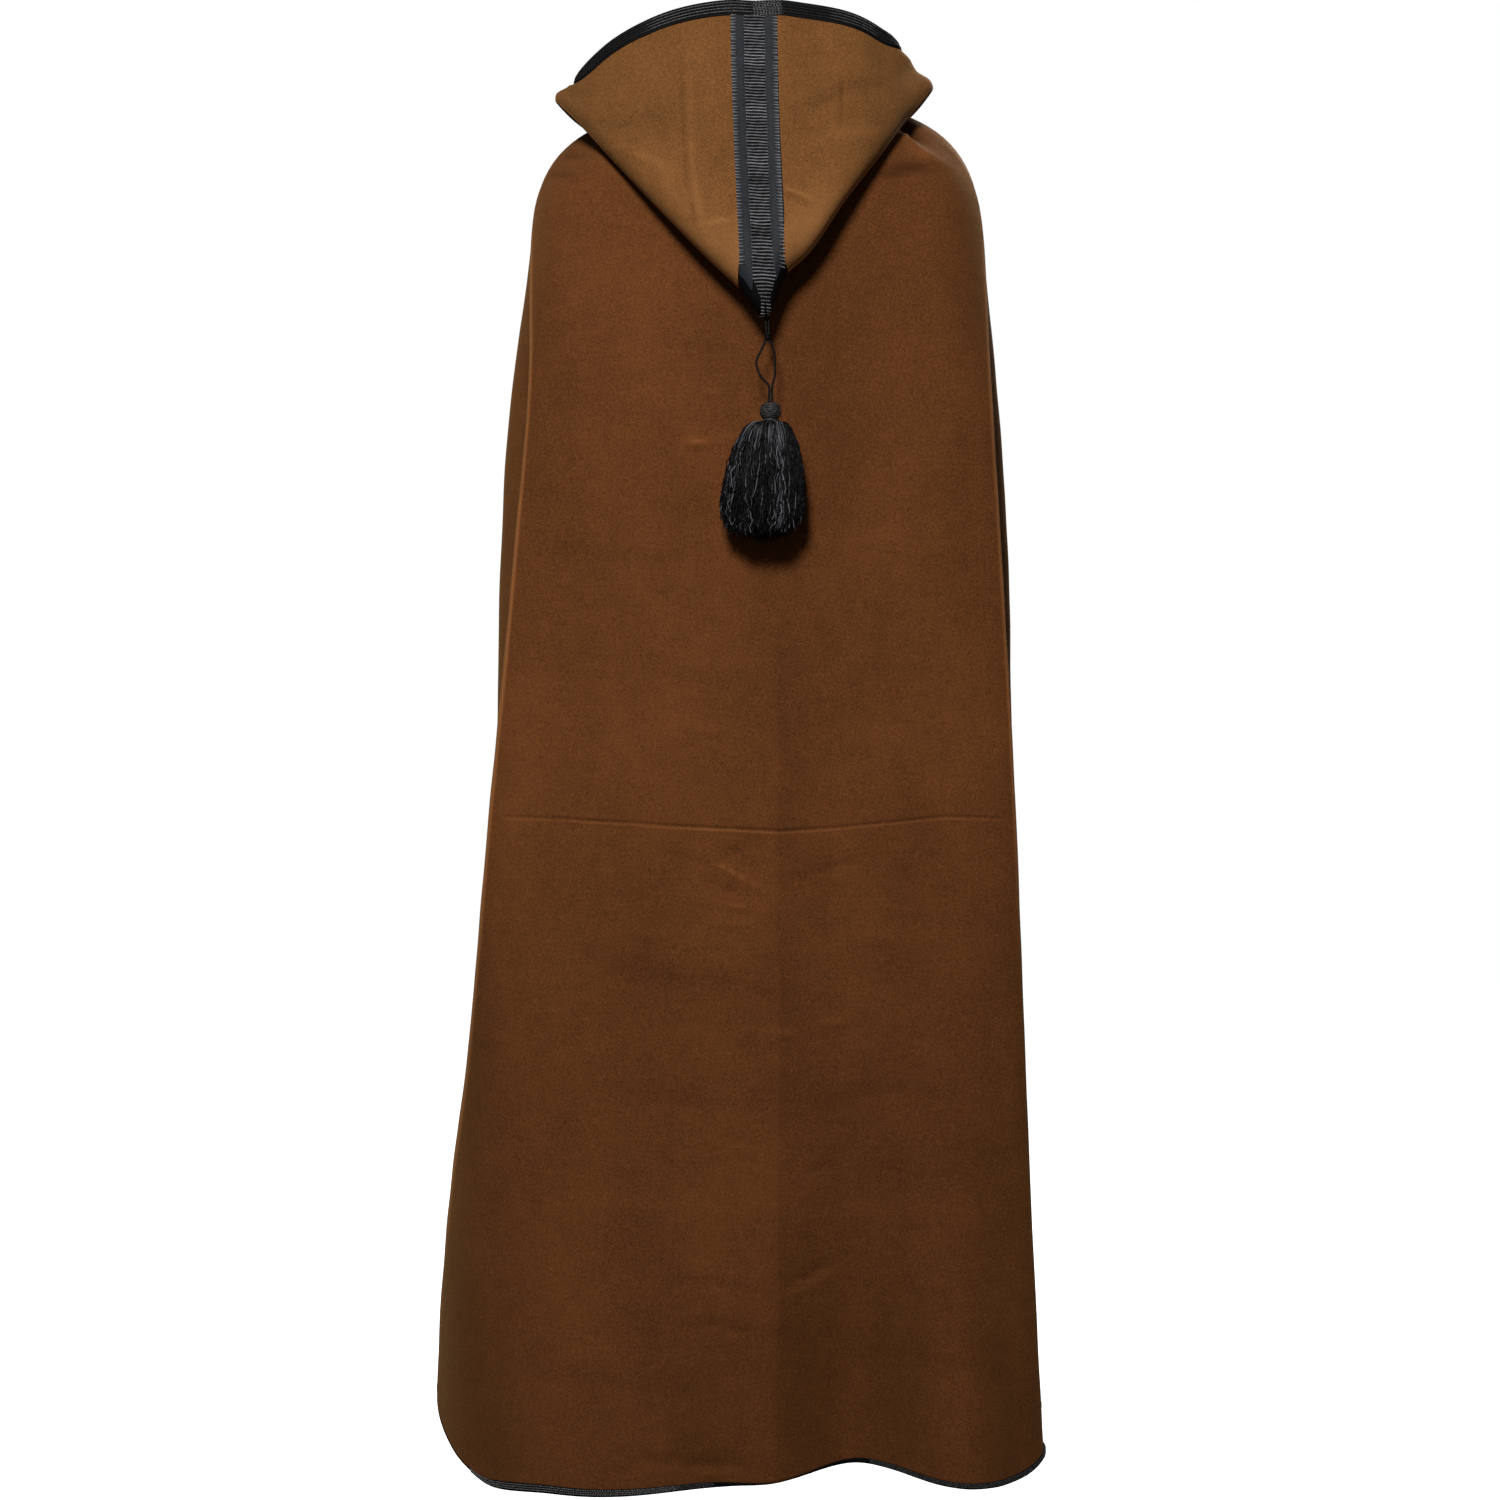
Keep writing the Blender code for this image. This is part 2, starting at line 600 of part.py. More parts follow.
def main():
    for obj in list(bpy.data.objects):
        bpy.data.objects.remove(obj)
    burnous = bpy.data.collections.new("burnous")
    bpy.context.scene.collection.children.link(burnous)
    wool = material("brown_wool", (0.130, 0.046, 0.015), 0.9)
    braid = material("black_braid", (0.012, 0.012, 0.013), 0.55)
    silk = material("black_silk", (0.010, 0.010, 0.011), 0.35)
    satin = material("slate_ribbon", (0.042, 0.044, 0.050), 0.4)

    def add_piece(name, look, panel, columns, rows, lift=0.0, thickness=CLOTH):
        add_object(name, wall_mesh(name, *panel.piece(columns, rows, lift, thickness)), burnous, look)

    # Back and fronts
    shares = spread(0.0, SEAM_SHARE, BACK_COLUMNS) + spread(SEAM_SHARE, 1.0, FRONT_COLUMNS)[1:]
    cloak = Panel(cloak_grid("left", shares), cloak_grid("right", shares), -1)
    end, hem = 2 * cloak.middle, SHOULDER_ROWS + HANG_ROWS
    left_seam, right_seam = cloak.middle - BACK_COLUMNS, cloak.middle + BACK_COLUMNS
    add_piece(
        "back",
        wool,
        cloak,
        [
            lambda row: cloak.column_beyond(row, left_seam, SEAM),
            *range(left_seam + 1, right_seam),
            lambda row: cloak.column_beyond(row, right_seam, -SEAM),
        ],
        range(hem + 1),
    )
    add_piece("front_left", wool, cloak, range(left_seam + 1), range(hem + 1))
    add_piece("front_right", wool, cloak, range(right_seam, end + 1), range(hem + 1))

    # Hood
    under, ways = cloak.tree(), spread(0.0, 1.0, HOOD_ROWS)
    halves = [[[hood_point(side, s, w, under) for s in shares] for w in ways] for side in SIDES]
    hood = Panel(*halves, 1)
    middle = hood.middle
    left_columns = [*range(middle), lambda row: hood.column_beyond(row, middle, -SEAM / 2)]
    right_columns = [lambda row: hood.column_beyond(row, middle, SEAM / 2), *range(middle + 1, end + 1)]
    add_piece("hood_left", wool, hood, left_columns, range(HOOD_ROWS + 1))
    add_piece("hood_right", wool, hood, right_columns, range(HOOD_ROWS + 1))

    # Ribbon over the crown and braid round the face edge
    lift = CLOTH / 2 + BRAID_CLEARANCE + BRAID / 2
    edge = RIBBON_SHARE / shares[1]
    columns = [middle - edge, middle - 1, middle, middle + 1, middle + edge]

    def below_face_braid(column):
        return hood.row_from_end(column, FACE_BRAID_WIDTH + SEAM)

    last_row = int(below_face_braid(middle))
    rows = [RIBBON_FIRST_ROW, *range(int(RIBBON_FIRST_ROW) + 1, last_row + 1), below_face_braid]
    add_piece("crown_ribbon", satin, hood, columns, rows, lift, BRAID)

    def face_braid_row(part):
        def row(column):
            share = shares[abs(round(column) - middle)]
            width = FACE_BRAID_WIDTH + (THROAT_BRAID_WIDTH - FACE_BRAID_WIDTH) * smooth(2 * share - 0.8)
            start = hood.row_from_end(column, width)
            return start + (HOOD_ROWS - start) * part

        return row

    rows = [face_braid_row(i / 3) for i in range(4)]
    add_piece("face_braid", braid, hood, range(end + 1), rows, lift, BRAID)

    # Braid round the hem and up the fronts
    def above_hem(column):
        return cloak.row_from_end(column, HEM_BRAID_WIDTH)

    add_piece("hem_braid", braid, cloak, range(end + 1), [above_hem, hem], lift, BRAID)
    for side, last, sign in (("left", 0, 1), ("right", end, -1)):
        stop = cloak.row_from_end(last, HEM_BRAID_WIDTH + SEAM)
        rows = [*range(SHOULDER_ROWS, int(stop) + 1), stop]
        columns = [lambda row, c=last, w=sign * HEM_BRAID_WIDTH: cloak.column_beyond(row, c, w), last]
        add_piece(f"front_braid_{side}", braid, cloak, columns, rows, lift, BRAID)

    # Tassel and its cords
    for side, path in CORDS.items():
        top, bottom = path[0][1], path[-1][1]
        route = [Vector((x, TIP_Y + (TASSEL_Y - TIP_Y) * (top - z) / (top - bottom), z)) for x, z in path]
        add_cord(f"tassel_cord_{side}", route, burnous, silk)
    add_object("tassel", tassel_mesh("tassel"), burnous, silk)


main()
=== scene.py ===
"""Burnous hooded cloak of brown felted wool, dressed over its solids.

Metres, +Z up. The front faces -Y, the back +Y, and the wearer's left is +X. The cloth is made again
from the cloak's own sections and ribs on a finer grid, with its creases. Then come the ribbon over the
crown, the braid round the edges, the two cords and the tassel of silk thread.
"""

import math
from functools import lru_cache

import bpy
import numpy as np
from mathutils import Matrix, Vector, noise
from mathutils.bvhtree import BVHTree


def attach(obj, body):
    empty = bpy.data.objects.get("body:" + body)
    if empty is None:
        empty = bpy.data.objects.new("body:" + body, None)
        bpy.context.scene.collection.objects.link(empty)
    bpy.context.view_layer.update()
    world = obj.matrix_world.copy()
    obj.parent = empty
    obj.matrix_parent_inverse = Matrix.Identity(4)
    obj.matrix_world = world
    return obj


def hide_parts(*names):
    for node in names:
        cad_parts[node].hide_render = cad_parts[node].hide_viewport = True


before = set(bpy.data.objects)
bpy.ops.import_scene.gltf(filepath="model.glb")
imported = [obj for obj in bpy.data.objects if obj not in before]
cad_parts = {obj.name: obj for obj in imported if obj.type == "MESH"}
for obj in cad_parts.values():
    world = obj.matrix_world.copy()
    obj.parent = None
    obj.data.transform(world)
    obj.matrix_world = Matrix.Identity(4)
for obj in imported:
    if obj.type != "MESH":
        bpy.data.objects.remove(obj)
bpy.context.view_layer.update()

bl_info = {
    "name": "Burnous hooded cloak",
    "version": (1, 0, 0),
    "blender": (4, 5, 0),
    "location": "View3D > Sidebar > Burnous",
    "description": "Dresses the solids of a burnous in cloth, ribbon, braid and silk",
    "category": "Object",
}

MM = 0.001
GOLDEN = 0.61803399  # turns at this share of a circle spread evenly

# Cloth, braid and seams
CLOTH = 0.002
SEAM = 0.0005
FACE_BRAID_WIDTH = 0.0165
THROAT_BRAID_WIDTH = 0.009
HEM_BRAID_WIDTH = 0.0085

# Neck: an upright oval, high at the sides and low at the throat
NECK_HALF_WIDTH = 0.078
NECK_BACK_DEPTH = 0.062
NECK_FRONT_DEPTH = 0.076
NECK_SWEEP = math.radians(179.6)
NAPE_HEIGHT = 0.012
NECK_SIDE_HEIGHT = 0.022
THROAT_HEIGHT = -0.075

# Where the cloth stops lying on the shoulders and starts to hang
HANG_HEIGHT = -0.115
SIDES = {"left": 1, "right": -1}
SEAM_SHARE = 0.5  # the shoulder and side seam, as a share of the way from centre back to centre front

# Horizontal sections of the hanging cloth, from the shoulders (drop 0) to the hem (drop 1).
LEVELS = (
    # drop, back_y, front_y, front_gap
    (0.00, 0.100, -0.088, 0.0005),
    (0.11, 0.116, -0.128, 0.0005),
    (0.26, 0.124, -0.140, 0.0060),
    (0.46, 0.132, -0.150, 0.0130),
    (0.70, 0.142, -0.165, 0.0230),
    (0.89, 0.152, -0.183, 0.0330),
    (1.00, 0.158, -0.192, 0.0390),
)
# On each side the cloth folds forward at an edge, falls into a valley and swells out round the arm.
SIDE_LEVELS = {
    "left": (
        # drop, edge_x, edge_y, valley_x, valley_y, arm_x, arm_y
        (0.00, 0.230, 0.034, 0.231, 0.012, 0.229, -0.026),
        (0.11, 0.227, 0.085, 0.216, 0.040, 0.250, -0.030),
        (0.26, 0.240, 0.108, 0.218, 0.052, 0.264, -0.030),
        (0.46, 0.261, 0.110, 0.240, 0.050, 0.269, -0.035),
        (0.70, 0.290, 0.085, 0.277, 0.025, 0.290, -0.045),
        (0.89, 0.319, 0.035, 0.313, -0.020, 0.314, -0.075),
        (1.00, 0.328, -0.005, 0.322, -0.050, 0.315, -0.100),
    ),
    "right": (
        (0.00, 0.230, 0.034, 0.231, 0.012, 0.229, -0.026),
        (0.11, 0.232, 0.085, 0.222, 0.040, 0.246, -0.030),
        (0.26, 0.242, 0.108, 0.222, 0.052, 0.258, -0.030),
        (0.46, 0.255, 0.114, 0.234, 0.055, 0.263, -0.035),
        (0.70, 0.266, 0.114, 0.248, 0.052, 0.275, -0.040),
        (0.89, 0.276, 0.112, 0.259, 0.050, 0.287, -0.055),
        (1.00, 0.284, 0.108, 0.266, 0.045, 0.293, -0.065),
    ),
}
# Shares of the way from centre back to centre front at which a section's own points lie
STATIONS = (0.0, 0.16, 0.31, 0.39, 0.45, 0.58, 0.74, 0.88, 1.0)

# The hem's height round each side
HEM = {
    "left": (
        # share, height
        (0.00, -1.354),
        (0.20, -1.357),
        (0.31, -1.352),
        (0.36, -1.320),
        (0.41, -1.292),
        (0.48, -1.284),
        (0.74, -1.318),
        (1.00, -1.338),
    ),
    "right": (
        (0.00, -1.354),
        (0.12, -1.341),
        (0.26, -1.354),
        (0.33, -1.352),
        (0.41, -1.330),
        (0.50, -1.322),
        (0.74, -1.330),
        (1.00, -1.338),
    ),
}
# Hanging folds: each swells out (or in, with a negative depth) towards the hem.
FOLDS = (
    # side, share, half_width, drop, depth
    ("left", 0.17, 0.15, 0.62, 0.034),
    ("right", 0.115, 0.11, 0.66, -0.046),
    ("right", 0.25, 0.09, 0.66, 0.022),
    ("left", 0.66, 0.07, 0.20, 0.026),
    ("left", 0.80, 0.08, 0.30, -0.020),
    ("left", 0.92, 0.07, 0.25, 0.018),
    ("right", 0.67, 0.07, 0.25, 0.024),
    ("right", 0.81, 0.08, 0.20, -0.022),
    ("right", 0.93, 0.07, 0.30, 0.016),
)

# The shoulders: how the cloth leaves the neck and comes down on to the hanging part
SHOULDER = (
    # share, slope_deg, reach, lift
    (0.00, 56.0, 0.42, 0.050),
    (0.30, 26.0, 0.44, 0.062),
    (0.50, 5.0, 0.52, 0.084),
    (0.75, 30.0, 0.42, 0.050),
    (1.00, 62.0, 0.38, 0.012),
)
SHOULDER_LIFT = {"left": 0.0, "right": 0.010}

# The hood lies down. Each rib runs from the neck out to the fold, and back up to the face edge.
HOOD = {
    "left": (
        # share, fold x, y, z, face x, y, z, out_handle, face_handle, nose_rise
        (0.00, -0.008, 0.146, -0.211, 0.003, 0.088, 0.111, 0.056, 0.150, 0.00),
        (0.05, 0.016, 0.145, -0.184, 0.027, 0.088, 0.112, 0.054, 0.145, 0.00),
        (0.10, 0.043, 0.141, -0.158, 0.055, 0.087, 0.109, 0.052, 0.130, 0.02),
        (0.20, 0.091, 0.129, -0.108, 0.105, 0.080, 0.096, 0.042, 0.090, 0.08),
        (0.30, 0.142, 0.098, -0.050, 0.153, 0.062, 0.072, 0.034, 0.055, 0.20),
        (0.38, 0.182, 0.060, -0.001, 0.182, 0.042, 0.045, 0.022, 0.026, 0.45),
        (0.44, 0.203, 0.028, 0.024, 0.178, 0.002, 0.041, 0.016, 0.014, 0.72),
        (0.55, 0.188, -0.028, 0.016, 0.160, -0.034, 0.036, 0.014, 0.012, 0.90),
        (0.70, 0.124, -0.078, -0.020, 0.108, -0.072, 0.008, 0.012, 0.012, 0.95),
        (0.85, 0.060, -0.099, -0.058, 0.052, -0.092, -0.038, 0.010, 0.010, 0.95),
        (1.00, 0.010, -0.098, -0.078, 0.007, -0.093, -0.064, 0.006, 0.006, 0.95),
    ),
    "right": (
        (0.00, -0.008, 0.146, -0.211, 0.003, 0.088, 0.111, 0.056, 0.150, 0.00),
        (0.05, -0.025, 0.145, -0.173, -0.021, 0.088, 0.112, 0.054, 0.145, 0.00),
        (0.10, -0.048, 0.141, -0.150, -0.047, 0.087, 0.109, 0.052, 0.130, 0.02),
        (0.20, -0.086, 0.129, -0.094, -0.091, 0.080, 0.102, 0.044, 0.090, 0.08),
        (0.30, -0.124, 0.098, -0.041, -0.122, 0.062, 0.091, 0.038, 0.060, 0.20),
        (0.38, -0.151, 0.060, 0.001, -0.141, 0.042, 0.079, 0.030, 0.036, 0.45),
        (0.44, -0.176, 0.028, 0.035, -0.142, 0.000, 0.066, 0.020, 0.018, 0.72),
        (0.55, -0.164, -0.028, 0.026, -0.132, -0.036, 0.050, 0.016, 0.014, 0.90),
        (0.70, -0.112, -0.078, -0.014, -0.094, -0.072, 0.014, 0.014, 0.012, 0.95),
        (0.85, -0.058, -0.099, -0.056, -0.050, -0.092, -0.034, 0.010, 0.010, 0.95),
        (1.00, -0.010, -0.098, -0.078, -0.007, -0.093, -0.064, 0.006, 0.006, 0.95),
    ),
}
HOOD_CLEARANCE = 0.0050
NOSE_HANDLE = 0.012
FOLD_AT = 0.40  # the fold's place along a rib

# Tassel, hanging from the tip of the hood by two cords that part into a loop
TIP_Y = 0.147
TASSEL_Y = 0.1535
CORD_RADIUS = 0.0010
CORDS = {
    "left": (
        # x, z
        (-0.0080, -0.2133),
        (-0.0086, -0.2320),
        (-0.0040, -0.2440),
        (0.0010, -0.2560),
        (-0.0030, -0.2700),
        (-0.0112, -0.2800),
        (-0.0111, -0.2966),
    ),
    "right": (
        (-0.0110, -0.2118),
        (-0.0116, -0.2320),
        (-0.0160, -0.2440),
        (-0.0205, -0.2560),
        (-0.0190, -0.2700),
        (-0.0146, -0.2800),
        (-0.0145, -0.2966),
    ),
}
TASSEL_X = -0.0128
HEAD = (
    # z, radius
    (-0.2970, 0.0062),
    (-0.2985, 0.0096),
    (-0.3040, 0.0110),
    (-0.3095, 0.0100),
    (-0.3125, 0.0066),
    (-0.3150, 0.0080),
    (-0.3200, 0.0140),
    (-0.3270, 0.0185),
)
FLATTENED = 0.70  # the tassel's depth, of its width
LOOSE_FROM = -0.3130

# Where the solids have their rows, from the neck down
SHOULDER_ROWS = 7
HANG_ROWS = 19
HOOD_ROWS = 20
RIBBON_FIRST_ROW = 7.2  # just under the fold, on the hood's inner layer

# The grid that the fine cloth is read from has more rows and columns
HALF = 52  # columns from the middle of the back to a front edge
TOP_ROWS = 2 * SHOULDER_ROWS
DOWN_ROWS = 2 * HANG_ROWS

# Where the cloth's features lie
CREASE_POINTS = 14  # a crease is drawn through this many
PAINTED_SHADE_STEP = 0.0015  # painted shade and highlight: a welt this high is painted a step paler, and a furrow this deep a step darker
LONG_CREASE_X = -0.0225
FOLDED_EDGE = 0.388  # the folded edge's share of the way round
SIDE_ROUND = 0.62  # the way round one side, in metres
SIDE_FOLD_STARTS = -0.085
SIDE_FOLD_ENDS = {"left": -1.36, "right": -0.95}

# Creases pressed and rumpled into the cloth: each is a soft furrow (groove) or welt (ridge) that dies
# away towards both its ends. Widths and depths in millimetres, points (x, z) in metres.
BACK_CREASES = (
    # kind, width, depth, points
    ("groove", 4.5, 1.68, ((0.1017, -0.7315), (0.0594, -0.7433), (0.0308, -0.7403), (-0.0017, -0.7196))),
    ("groove", 2.2, 2.1, ((0.0594, -0.7590), (0.0220, -0.7738), (0.0033, -0.7757))),
    ("ridge", 2.2, 1.65, ((0.0406, -0.8042), (-0.0017, -0.8042))),
    ("ridge", 2.4, 2.4, ((0.0617, -0.7362), (0.0335, -0.7508), (0.0091, -0.7644), (-0.0150, -0.7730))),
    ("groove", 2.2, 2.2, ((0.0520, -0.7284), (0.0218, -0.7333), (0.0004, -0.7508))),
    ("ridge", 2.2, 2.1, ((0.0656, -0.7820), (0.0267, -0.7868), (-0.0025, -0.7936))),
    ("groove", 3.8, 1.33, ((-0.0281, -0.7658), (-0.0813, -0.7471), (-0.1203, -0.7420))),
    ("ridge", 3.0, 2.25, ((0.0203, -0.9100), (-0.0301, -0.9140), (-0.0419, -0.9209))),
    ("ridge", 2.6, 2.1, ((-0.0527, -0.9091), (-0.0999, -0.8973))),
    ("groove", 2.6, 2.1, ((0.0358, -1.0148), (-0.0016, -1.0198))),
    ("groove", 2.2, 1.8, ((0.0219, -1.0355), (-0.0065, -1.0414))),
    ("groove", 1.9, 1.35, ((-0.0065, -1.0450), (-0.0811, -1.0470), (-0.1468, -1.0470))),
    ("groove", 3.8, 1.68, ((0.0954, -1.1534), (0.0405, -1.1564), (-0.0065, -1.1681))),
    ("ridge", 3.8, 1.54, ((-0.0173, -1.1711), (-0.0418, -1.1652), (-0.0801, -1.1446))),
    ("groove", 3.0, 2.25, ((-0.0220, -1.1640), (-0.0801, -1.1366))),
    ("groove", 2.6, 2.1, ((0.0591, -1.1933), (-0.0065, -1.2070))),
    ("ridge", 2.2, 3.6, ((0.0822, -0.3342), (0.0510, -0.3300), (0.0120, -0.3253))),
    ("ridge", 1.8, 1.65, ((0.0605, -0.3076), (0.0289, -0.3056))),
    ("ridge", 1.7, 1.5, ((0.0526, -0.2820), (0.0289, -0.2800))),
    ("ridge", 1.7, 1.2, ((-0.1190, -0.3310), (-0.1350, -0.3290))),
    ("ridge", 2.6, 1.5, ((0.0841, -0.6064), (0.0210, -0.6222))),
    ("groove", 9.0, 0.9, ((0.1500, -0.5400), (0.0500, -0.5700), (-0.0200, -0.5620))),
    ("ridge", 10.0, 0.85, ((-0.0260, -0.6400), (-0.1000, -0.6200), (-0.1700, -0.6300))),
    ("groove", 12.0, 1.05, ((0.1900, -0.8300), (0.0900, -0.8620), (-0.0150, -0.8700))),
    ("ridge", 11.0, 0.9, ((-0.0300, -0.8400), (-0.1200, -0.8180), (-0.2000, -0.8300))),
    ("groove", 12.0, 1.0, ((0.1700, -0.9700), (0.0700, -0.9800), (-0.0150, -0.9950))),
    ("groove", 10.0, 0.9, ((-0.0300, -0.9950), (-0.1100, -0.9700), (-0.1900, -0.9750))),
    ("ridge", 12.0, 1.0, ((0.2000, -1.0700), (0.1000, -1.0820), (-0.0100, -1.0900))),
    ("ridge", 10.0, 0.8, ((-0.0400, -1.1000), (-0.1500, -1.0850), (-0.2200, -1.0950))),
    ("groove", 9.0, 1.0, ((0.2300, -1.2400), (0.1300, -1.2500), (0.0300, -1.2700))),
    ("groove", 9.0, 0.85, ((-0.0500, -1.2500), (-0.1400, -1.2300), (-0.2200, -1.2400))),
    ("ridge", 2.2, 2.7, ((0.0860, -1.3350), (0.0365, -1.3410), (-0.0100, -1.3430))),
    ("groove", 4.5, 1.75, ((0.1296, -1.3175), (0.0590, -1.3302), (0.0000, -1.3330))),
    ("groove", 8.0, 0.8, ((0.2100, -0.4300), (0.1200, -0.4500), (0.0500, -0.4450))),
    ("ridge", 8.0, 0.65, ((-0.0600, -0.4400), (-0.1300, -0.4250), (-0.2000, -0.4350))),
)
SHOULDER_CREASES = (
    ("groove", 5.5, 9.5, ((-0.1470, 0.0050), (-0.1530, -0.0070), (-0.1640, -0.0230))),
    ("ridge", 4.0, 4.5, ((-0.1480, -0.0120), (-0.1530, -0.0210), (-0.1600, -0.0320))),
    ("ridge", 6.0, 3.9, ((-0.1560, -0.0330), (-0.1690, -0.0400), (-0.1870, -0.0460))),
    ("groove", 5.5, 4.5, ((-0.1200, -0.0640), (-0.1494, -0.0540), (-0.1840, -0.0500))),
    ("groove", 3.6, 3.3, ((0.2050, -0.0270), (0.1880, -0.0335), (0.1700, -0.0420))),
    ("groove", 3.6, 3.0, ((0.2150, -0.0480), (0.1985, -0.0540), (0.1800, -0.0640))),
)
FRONT_CREASES = (
    ("groove", 3.8, 1.33, ((0.0300, -0.7380), (0.0800, -0.7500), (0.1400, -0.7400))),
    ("ridge", 4.5, 1.26, ((-0.0300, -0.7620), (-0.0800, -0.7420), (-0.1500, -0.7450))),
    ("groove", 10.0, 1.05, ((0.0350, -0.4200), (0.1000, -0.3900), (0.1700, -0.3700))),
    ("groove", 9.0, 1.0, ((-0.0350, -0.4300), (-0.1100, -0.4000), (-0.1800, -0.3900))),
    ("ridge", 7.0, 0.85, ((0.0300, -0.5400), (0.0900, -0.5550), (0.1500, -0.5450))),
    ("ridge", 8.0, 0.85, ((-0.0300, -0.5650), (-0.0900, -0.5800), (-0.1600, -0.5600))),
    ("groove", 9.0, 1.05, ((0.0350, -0.8900), (0.1200, -0.9100), (0.2000, -0.9000))),
    ("ridge", 8.0, 0.9, ((-0.0400, -0.8800), (-0.1200, -0.9000), (-0.2100, -0.8900))),
    ("groove", 8.0, 0.9, ((-0.0400, -1.0300), (-0.1100, -1.0400), (-0.1900, -1.0200))),
    ("ridge", 9.0, 1.0, ((0.0400, -1.0500), (0.1300, -1.0650), (0.2100, -1.0500))),
    ("groove", 7.0, 1.05, ((0.0500, -1.2000), (0.1300, -1.2150), (0.2300, -1.2000))),
    ("groove", 7.0, 1.0, ((-0.0500, -1.1900), (-0.1400, -1.2100), (-0.2200, -1.2000))),
)
HOOD_CREASES = (
    (
        "groove",
        1.4,
        2.1,
        ((0.0760, 0.0743), (0.0750, 0.0223), (0.0730, -0.0367), (0.0681, -0.0858), (0.0600, -0.1262)),
    ),
    (
        "ridge",
        3.8,
        1.5,
        ((0.0680, 0.0743), (0.0672, 0.0223), (0.0650, -0.0367), (0.0600, -0.0858), (0.0530, -0.1200)),
    ),
    ("ridge", 1.4, 2.1, ((0.0553, -0.1248), (0.0376, -0.1199), (0.0209, -0.1179))),
    ("ridge", 1.4, 1.5, ((0.0400, -0.0308), (0.0270, -0.0308))),
    ("ridge", 1.8, 2.25, ((-0.0222, -0.0856), (-0.0379, -0.0905), (-0.0565, -0.0983))),
    ("groove", 2.2, 1.65, ((-0.0222, -0.0916), (-0.0379, -0.0975), (-0.0545, -0.1053))),
    ("groove", 1.5, 1.8, ((-0.0838, 0.0394), (-0.0838, 0.0066), (-0.0828, -0.0221))),
    ("ridge", 1.5, 1.5, ((-0.0721, 0.0801), (-0.0731, 0.0543))),
    ("groove", 7.0, 1.8, ((-0.0300, -0.0100), (-0.0900, 0.0200), (-0.1300, 0.0300))),
    ("ridge", 8.0, 1.6, ((-0.0400, -0.0450), (-0.0900, -0.0300), (-0.1300, -0.0250))),
    ("groove", 7.0, 1.6, ((0.0950, 0.0000), (0.1300, -0.0150), (0.1650, -0.0100))),
    ("ridge", 7.0, 1.3, ((0.0850, -0.0600), (0.1150, -0.0500), (0.1450, -0.0350))),
)
# Painted shade by height: how much paler (or darker, below 0) the wool is painted on the wearer's left and
# right
PAINTED_SHADE_BY_HEIGHT = (
    # height, left, right
    (-1.30, -0.5, -0.8),
    (-0.95, -0.25, -0.8),
    (-0.62, 0.0, 0.0),
    (-0.33, -0.5, -1.2),
    (-0.10, -0.5, -1.1),
)
# Where the hood's cloth stands up beside the face edge, which way, and how far
HOOD_CORNERS = (
    # centre, out, push, reach
    ((0.1845, 0.030, 0.034), (0.775, 0.0, 0.634), 0.0082, 0.011),
    ((-0.1500, 0.030, 0.059), (-0.777, 0.0, 0.631), 0.0090, 0.013),
    ((-0.1410, 0.040, 0.073), (-0.777, 0.0, 0.631), 0.0085, 0.012),
)
# How much of the hem's braid shows along the back
HEM_SHOWS = (
    # x, mm
    (-0.3000, 6.0),
    (-0.2200, 5.2),
    (-0.1500, 5.0),
    (-0.0750, 4.0),
    (-0.0560, 1.0),
    (0.0080, 1.0),
    (0.0220, 5.0),
    (0.0900, 5.5),
    (0.1400, 6.6),
    (0.2450, 8.0),
    (0.2750, 8.5),
    (0.2860, 1.2),
    (0.3300, 1.0),
)
# The sharp crease of the folded cloak, right across the back and the fronts
PACKING_CREASE = (
    # x, z
    (-0.2600, -0.7030),
    (-0.2359, -0.7029),
    (-0.1847, -0.7009),
    (-0.1473, -0.7049),
    (-0.0764, -0.7118),
    (-0.0223, -0.7152),
    (0.0220, -0.7128),
    (0.0879, -0.7098),
    (0.1273, -0.7068),
    (0.1676, -0.7049),
    (0.1912, -0.7029),
    (0.2591, -0.7014),
    (0.2700, -0.7010),
)
# The long crease down the back, a little to one side of the middle
LONG_CREASE = (
    # z, x, depth
    (-1.3600, -0.0212, 0.0006),
    (-1.2726, -0.0212, 0.0011),
    (-1.0375, -0.0232, 0.0012),
    (-0.8500, -0.0232, 0.0012),
    (-0.7143, -0.0222, 0.0011),
    (-0.5800, -0.0212, 0.0008),
    (-0.4499, -0.0202, 0.0000),
)
# The welts of both braids, as shares of their width
FACE_WELTS = (0.16, 0.36, 0.56, 0.76)
HEM_WELTS = (0.22, 0.50, 0.78)
# The face braid rolls in at the hood's corners, and shows no stitches where it is narrower than this
HOOD_CORNER = 0.415  # the corners' share of the way round
ROLLED_IN = 0.0085
# Half the ribbon's width along a rib
RIBBON_HALVES = (
    # way, half width
    (0.00, 0.0200),
    (0.34, 0.0245),
    (0.43, 0.0245),
    (0.50, 0.0228),
    (1.00, 0.0236),
)
# The cords' bow, and the length of one turn of their twist
FULL_BOW = -0.0165
TWIST_LENGTH = 0.0052
# The tassel's skirt, and the places along a thread at which it has points
THREAD_LENGTH = 0.111
SKIRT = (
    # way, radius, fall
    (0.00, 0.0050, 0.0000),
    (0.05, 0.0180, 0.0030),
    (0.11, 0.0235, 0.0095),
    (0.27, 0.0312, 0.0290),
    (0.53, 0.0378, 0.0610),
    (0.70, 0.0402, 0.0800),
    (0.85, 0.0408, 0.0960),
    (1.00, 0.0398, 0.1080),
)
SKIRT_WAYS = np.array([0.0, 0.05, *np.arange(0.11, 0.89, 0.07), 0.94, 1.0])
